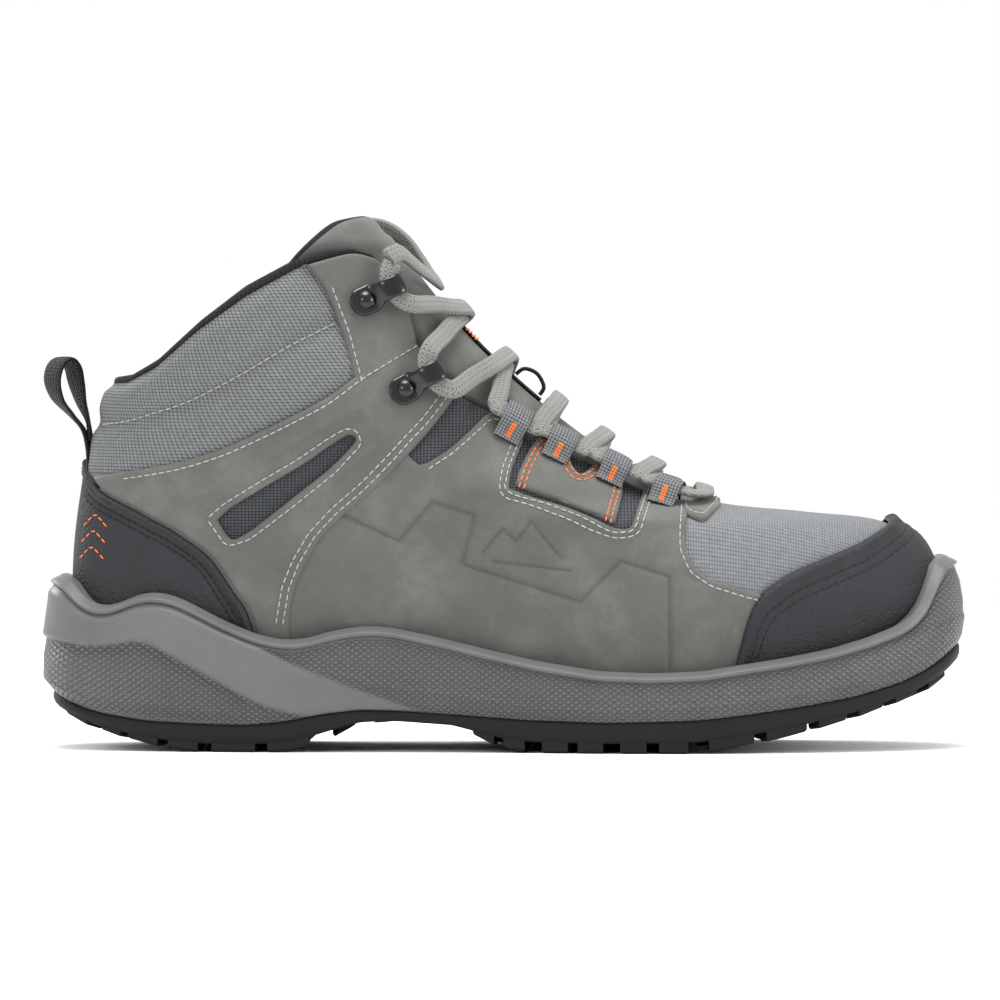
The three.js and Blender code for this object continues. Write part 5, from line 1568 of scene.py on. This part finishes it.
# Each free end as drawn points, then as side-view points with their lift, down the inner side of the shaft.
LACE_ENDS = {
    "lateral": (
        [
            (-36.9, -29.5, 158.9, 0.5, -0.7, 0.5), (-33.2, -25.2, 160.4, 0.7, -0.5, 0.5),
            (-27.8, -17.6, 156.4, 0.8, -0.3, 0.5), (-23, -9, 152.6, 0.85, -0.1, 0.5),
            (-20.9, 0, 151.2, 0.85, 0, 0.5),
            (-22.4, 9, 153, 0.85, 0.1, 0.5), (-26.2, 18, 158.4, 0.8, 0.3, 0.5),
            (-32, 25.6, 165, 0.6, 0.6, 0.5),
            (-40, 33, 169.4, 0.2, 0.85, 0.5), (-49, 39.8, 169, 0, 0.9, 0.45),
            (-56.8, 45.6, 163.4, 0, 0.95, 0.3),
        ],
        [
            (-61.6, 154, 5.9), (-64, 143, 5), (-65.4, 131, 4.9), (-66, 119, 4.9), (-66.4, 107, 4.9),
            (-66.6, 95, 5.2), (-66.8, 83, 5.6),
        ],
    ),
    "medial": (
        [
            (-36.9, 29.5, 158.9, 0.5, 0.7, 0.5), (-37.6, 30.6, 162.2, 0.3, 0.8, 0.4),
            (-43, 38, 162.8, 0.05, 0.9, 0.4), (-48.6, 44, 159.6, 0, 0.95, 0.3),
        ],
        [
            (-52.8, 151.5, 5.6), (-55.2, 141.5, 5), (-56.4, 130, 4.9), (-57, 118, 4.9), (-57.4, 106, 5.2),
            (-57.6, 94, 5.6),
        ],
    ),
}
clear_plastic = finish("clear_plastic_tip", "#8a8b88", Roughness=0.15, Coat_Weight=0.5)
for side in SIDES:
    drawn, beside_shaft = LACE_ENDS[side]
    route = [(p[:3], p[3:]) for p in drawn]
    for x, z, lift in beside_shaft:
        where = locate(x, z, "medial")
        route.append((last_point(*where) + last_normal(*where) * lift, last_normal(*where)))
    free_end, path, length = band(f"lace_free_end_{side}", route, LACE_WIDTH, LACE_THICK, braid, step=0.9)
    tip = []
    x, y, z = route[-1][0]
    for dz, r in ((-0.2, 0.6), (-0.3, 1.6), (-1, 1.75), (-19, 1.5), (-20, 1.2), (-20.3, 0.3)):
        for a in np.linspace(0, 2 * np.pi, 16, endpoint=False):
            tip.append((x + r * math.cos(a), y + r * math.sin(a), z + dz))
    aglet = make(f"aglet_sleeve_{side}", tip, grid_faces(6, 16, wrap=True, flip=True), None, clear_plastic)
    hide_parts(f"lace_end_{side}")
    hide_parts(f"aglet_{side}")

# ------------------------------------------------------------ the footbed
# A soft moulded insole with a woven top, dished at the heel. The real heel can be lifted from the boot; here
# the footbed is one fixed piece.
rim_angles = np.concatenate([even_angles(0.02, 90), 2 * np.pi - even_angles(0.02, 90)[-2:0:-1]])
bed_edge = last_point(0.02, rim_angles) + last_normal(0.02, rim_angles) * -5.6
bed_rows = []
for k, (shrink, lift) in enumerate(((0.8, 0.5), (0.0, 0.9), (0.0, 3.4), (0.35, 4.4), (1.2, 4.9))):
    row = bed_edge.copy()
    row[:, :2] -= last_normal(0.02, rim_angles)[:, :2] * shrink
    row[:, 2] += lift
    bed_rows.append(row)
n_edge = len(bed_edge)
bed_places = list(np.array(bed_rows).reshape(-1, 3))
bed_faces = [list(f) for f in grid_faces(5, n_edge, wrap=True)]
bed_faces += [[v + 4 * n_edge for v in f] for f in closed_floor(bed_rows[-1])]
bed_faces += [f[::-1] for f in closed_floor(bed_rows[0])]
woven_top = cloth("woven_insole_top", "#3c3d41", "#1b1c1f", 1.4, 0.25, rough=0.9)
bed = make("footbed_cushion", bed_places, bed_faces, np.array(bed_places)[:, :2], woven_top, body=None)
face_out(bed)
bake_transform(bed)
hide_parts("footbed_front", "footbed_heel")

# ------------------------------------------------------------ inner pieces
# What the upper hides: toe puff, heel counter, lasting board, shank and the vamp's lining.
plain = {
    "toe_puff": ("moulded_stiffener", "#b9b3a4", 0.6),
    "heel_counter": ("moulded_stiffener_heel", "#b9b3a4", 0.6),
    "lasting_board": ("pressed_fibre_board", "#9c8f78", 0.85),
    "shank": ("glass_filled_nylon", "#1c1d1f", 0.45),
}
for label, (look, tone, rough) in plain.items():
    inner_look = finish(look, tone, Roughness=rough)
    for slot_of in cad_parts[label].material_slots:
        slot_of.material = inner_look
lining_look = finish("brushed_lining_charcoal", "#2a2b2f", Roughness=0.95)
for slot_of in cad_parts["vamp_lining"].material_slots:
    slot_of.material = lining_look

# ------------------------------------------------------------ the studio
# A pale floor that fades into a pale sky, one large soft light above, and two fills.
floor_look = finish("pale_studio_floor", "#fbfbfb", Roughness=0.9)
tree = floor_look.node_tree
place = node(tree, "ShaderNodeTexCoord").outputs["Object"]
reach = node(tree, "ShaderNodeVectorMath", {0: place}, operation="LENGTH").outputs["Value"]
fade = spread(tree, reach, 0.5, 1.4, 1.0, 0.0)
tree.links.new(fade, tree.nodes["Principled BSDF"].inputs["Alpha"])
floor_mesh = bpy.data.meshes.new("studio_floor")
floor_mesh.from_pydata([(-20, -20, 0), (20, -20, 0), (20, 20, 0), (-20, 20, 0)], [], [(0, 1, 2, 3)])
floor_mesh.materials.append(floor_look)
studio_floor = placed("studio_floor", floor_mesh)

world = bpy.data.worlds.new("studio_sky")
bpy.context.scene.world = world
world.use_nodes = True
world.node_tree.nodes["Background"].inputs["Color"].default_value = (1, 1, 1, 1)
world.node_tree.nodes["Background"].inputs["Strength"].default_value = 1.0


def soft_light(name, at, to, width, height, power):
    data = bpy.data.lights.new(name, "AREA")
    data.shape = "RECTANGLE"
    data.size, data.size_y, data.energy = width, height, power
    obj = placed(name, data)
    obj.location = at
    obj.rotation_euler = (Vector(to) - Vector(at)).to_track_quat("-Z", "Y").to_euler()


middle = (0, 0, 0.07)
soft_light("overhead_softbox", (-0.1, -0.1, 1.3), middle, 0.9, 0.7, 22)
soft_light("front_softbox", (-0.9, -1.4, 0.75), middle, 0.6, 0.5, 8)
soft_light("toe_softbox", (1.3, -0.5, 0.5), middle, 0.4, 0.5, 8)
soft_light("back_softbox", (-1.0, 1.1, 0.7), middle, 0.6, 0.5, 9)

camera_data = bpy.data.cameras.new("main_camera")
camera_data.lens = 332
camera_data.sensor_width = 36
camera_data.clip_end = 60
camera = placed("main_camera", camera_data)
FAR, RISE = 3.0, math.radians(1.0)
target = Vector((-0.0008, 0, 0.0803))
camera.location = target + Vector((0, -math.cos(RISE) * FAR, math.sin(RISE) * FAR))
camera.rotation_euler = (target - camera.location).to_track_quat("-Z", "Y").to_euler()
bpy.context.scene.camera = camera
bpy.context.scene.view_settings.view_transform = "Standard"
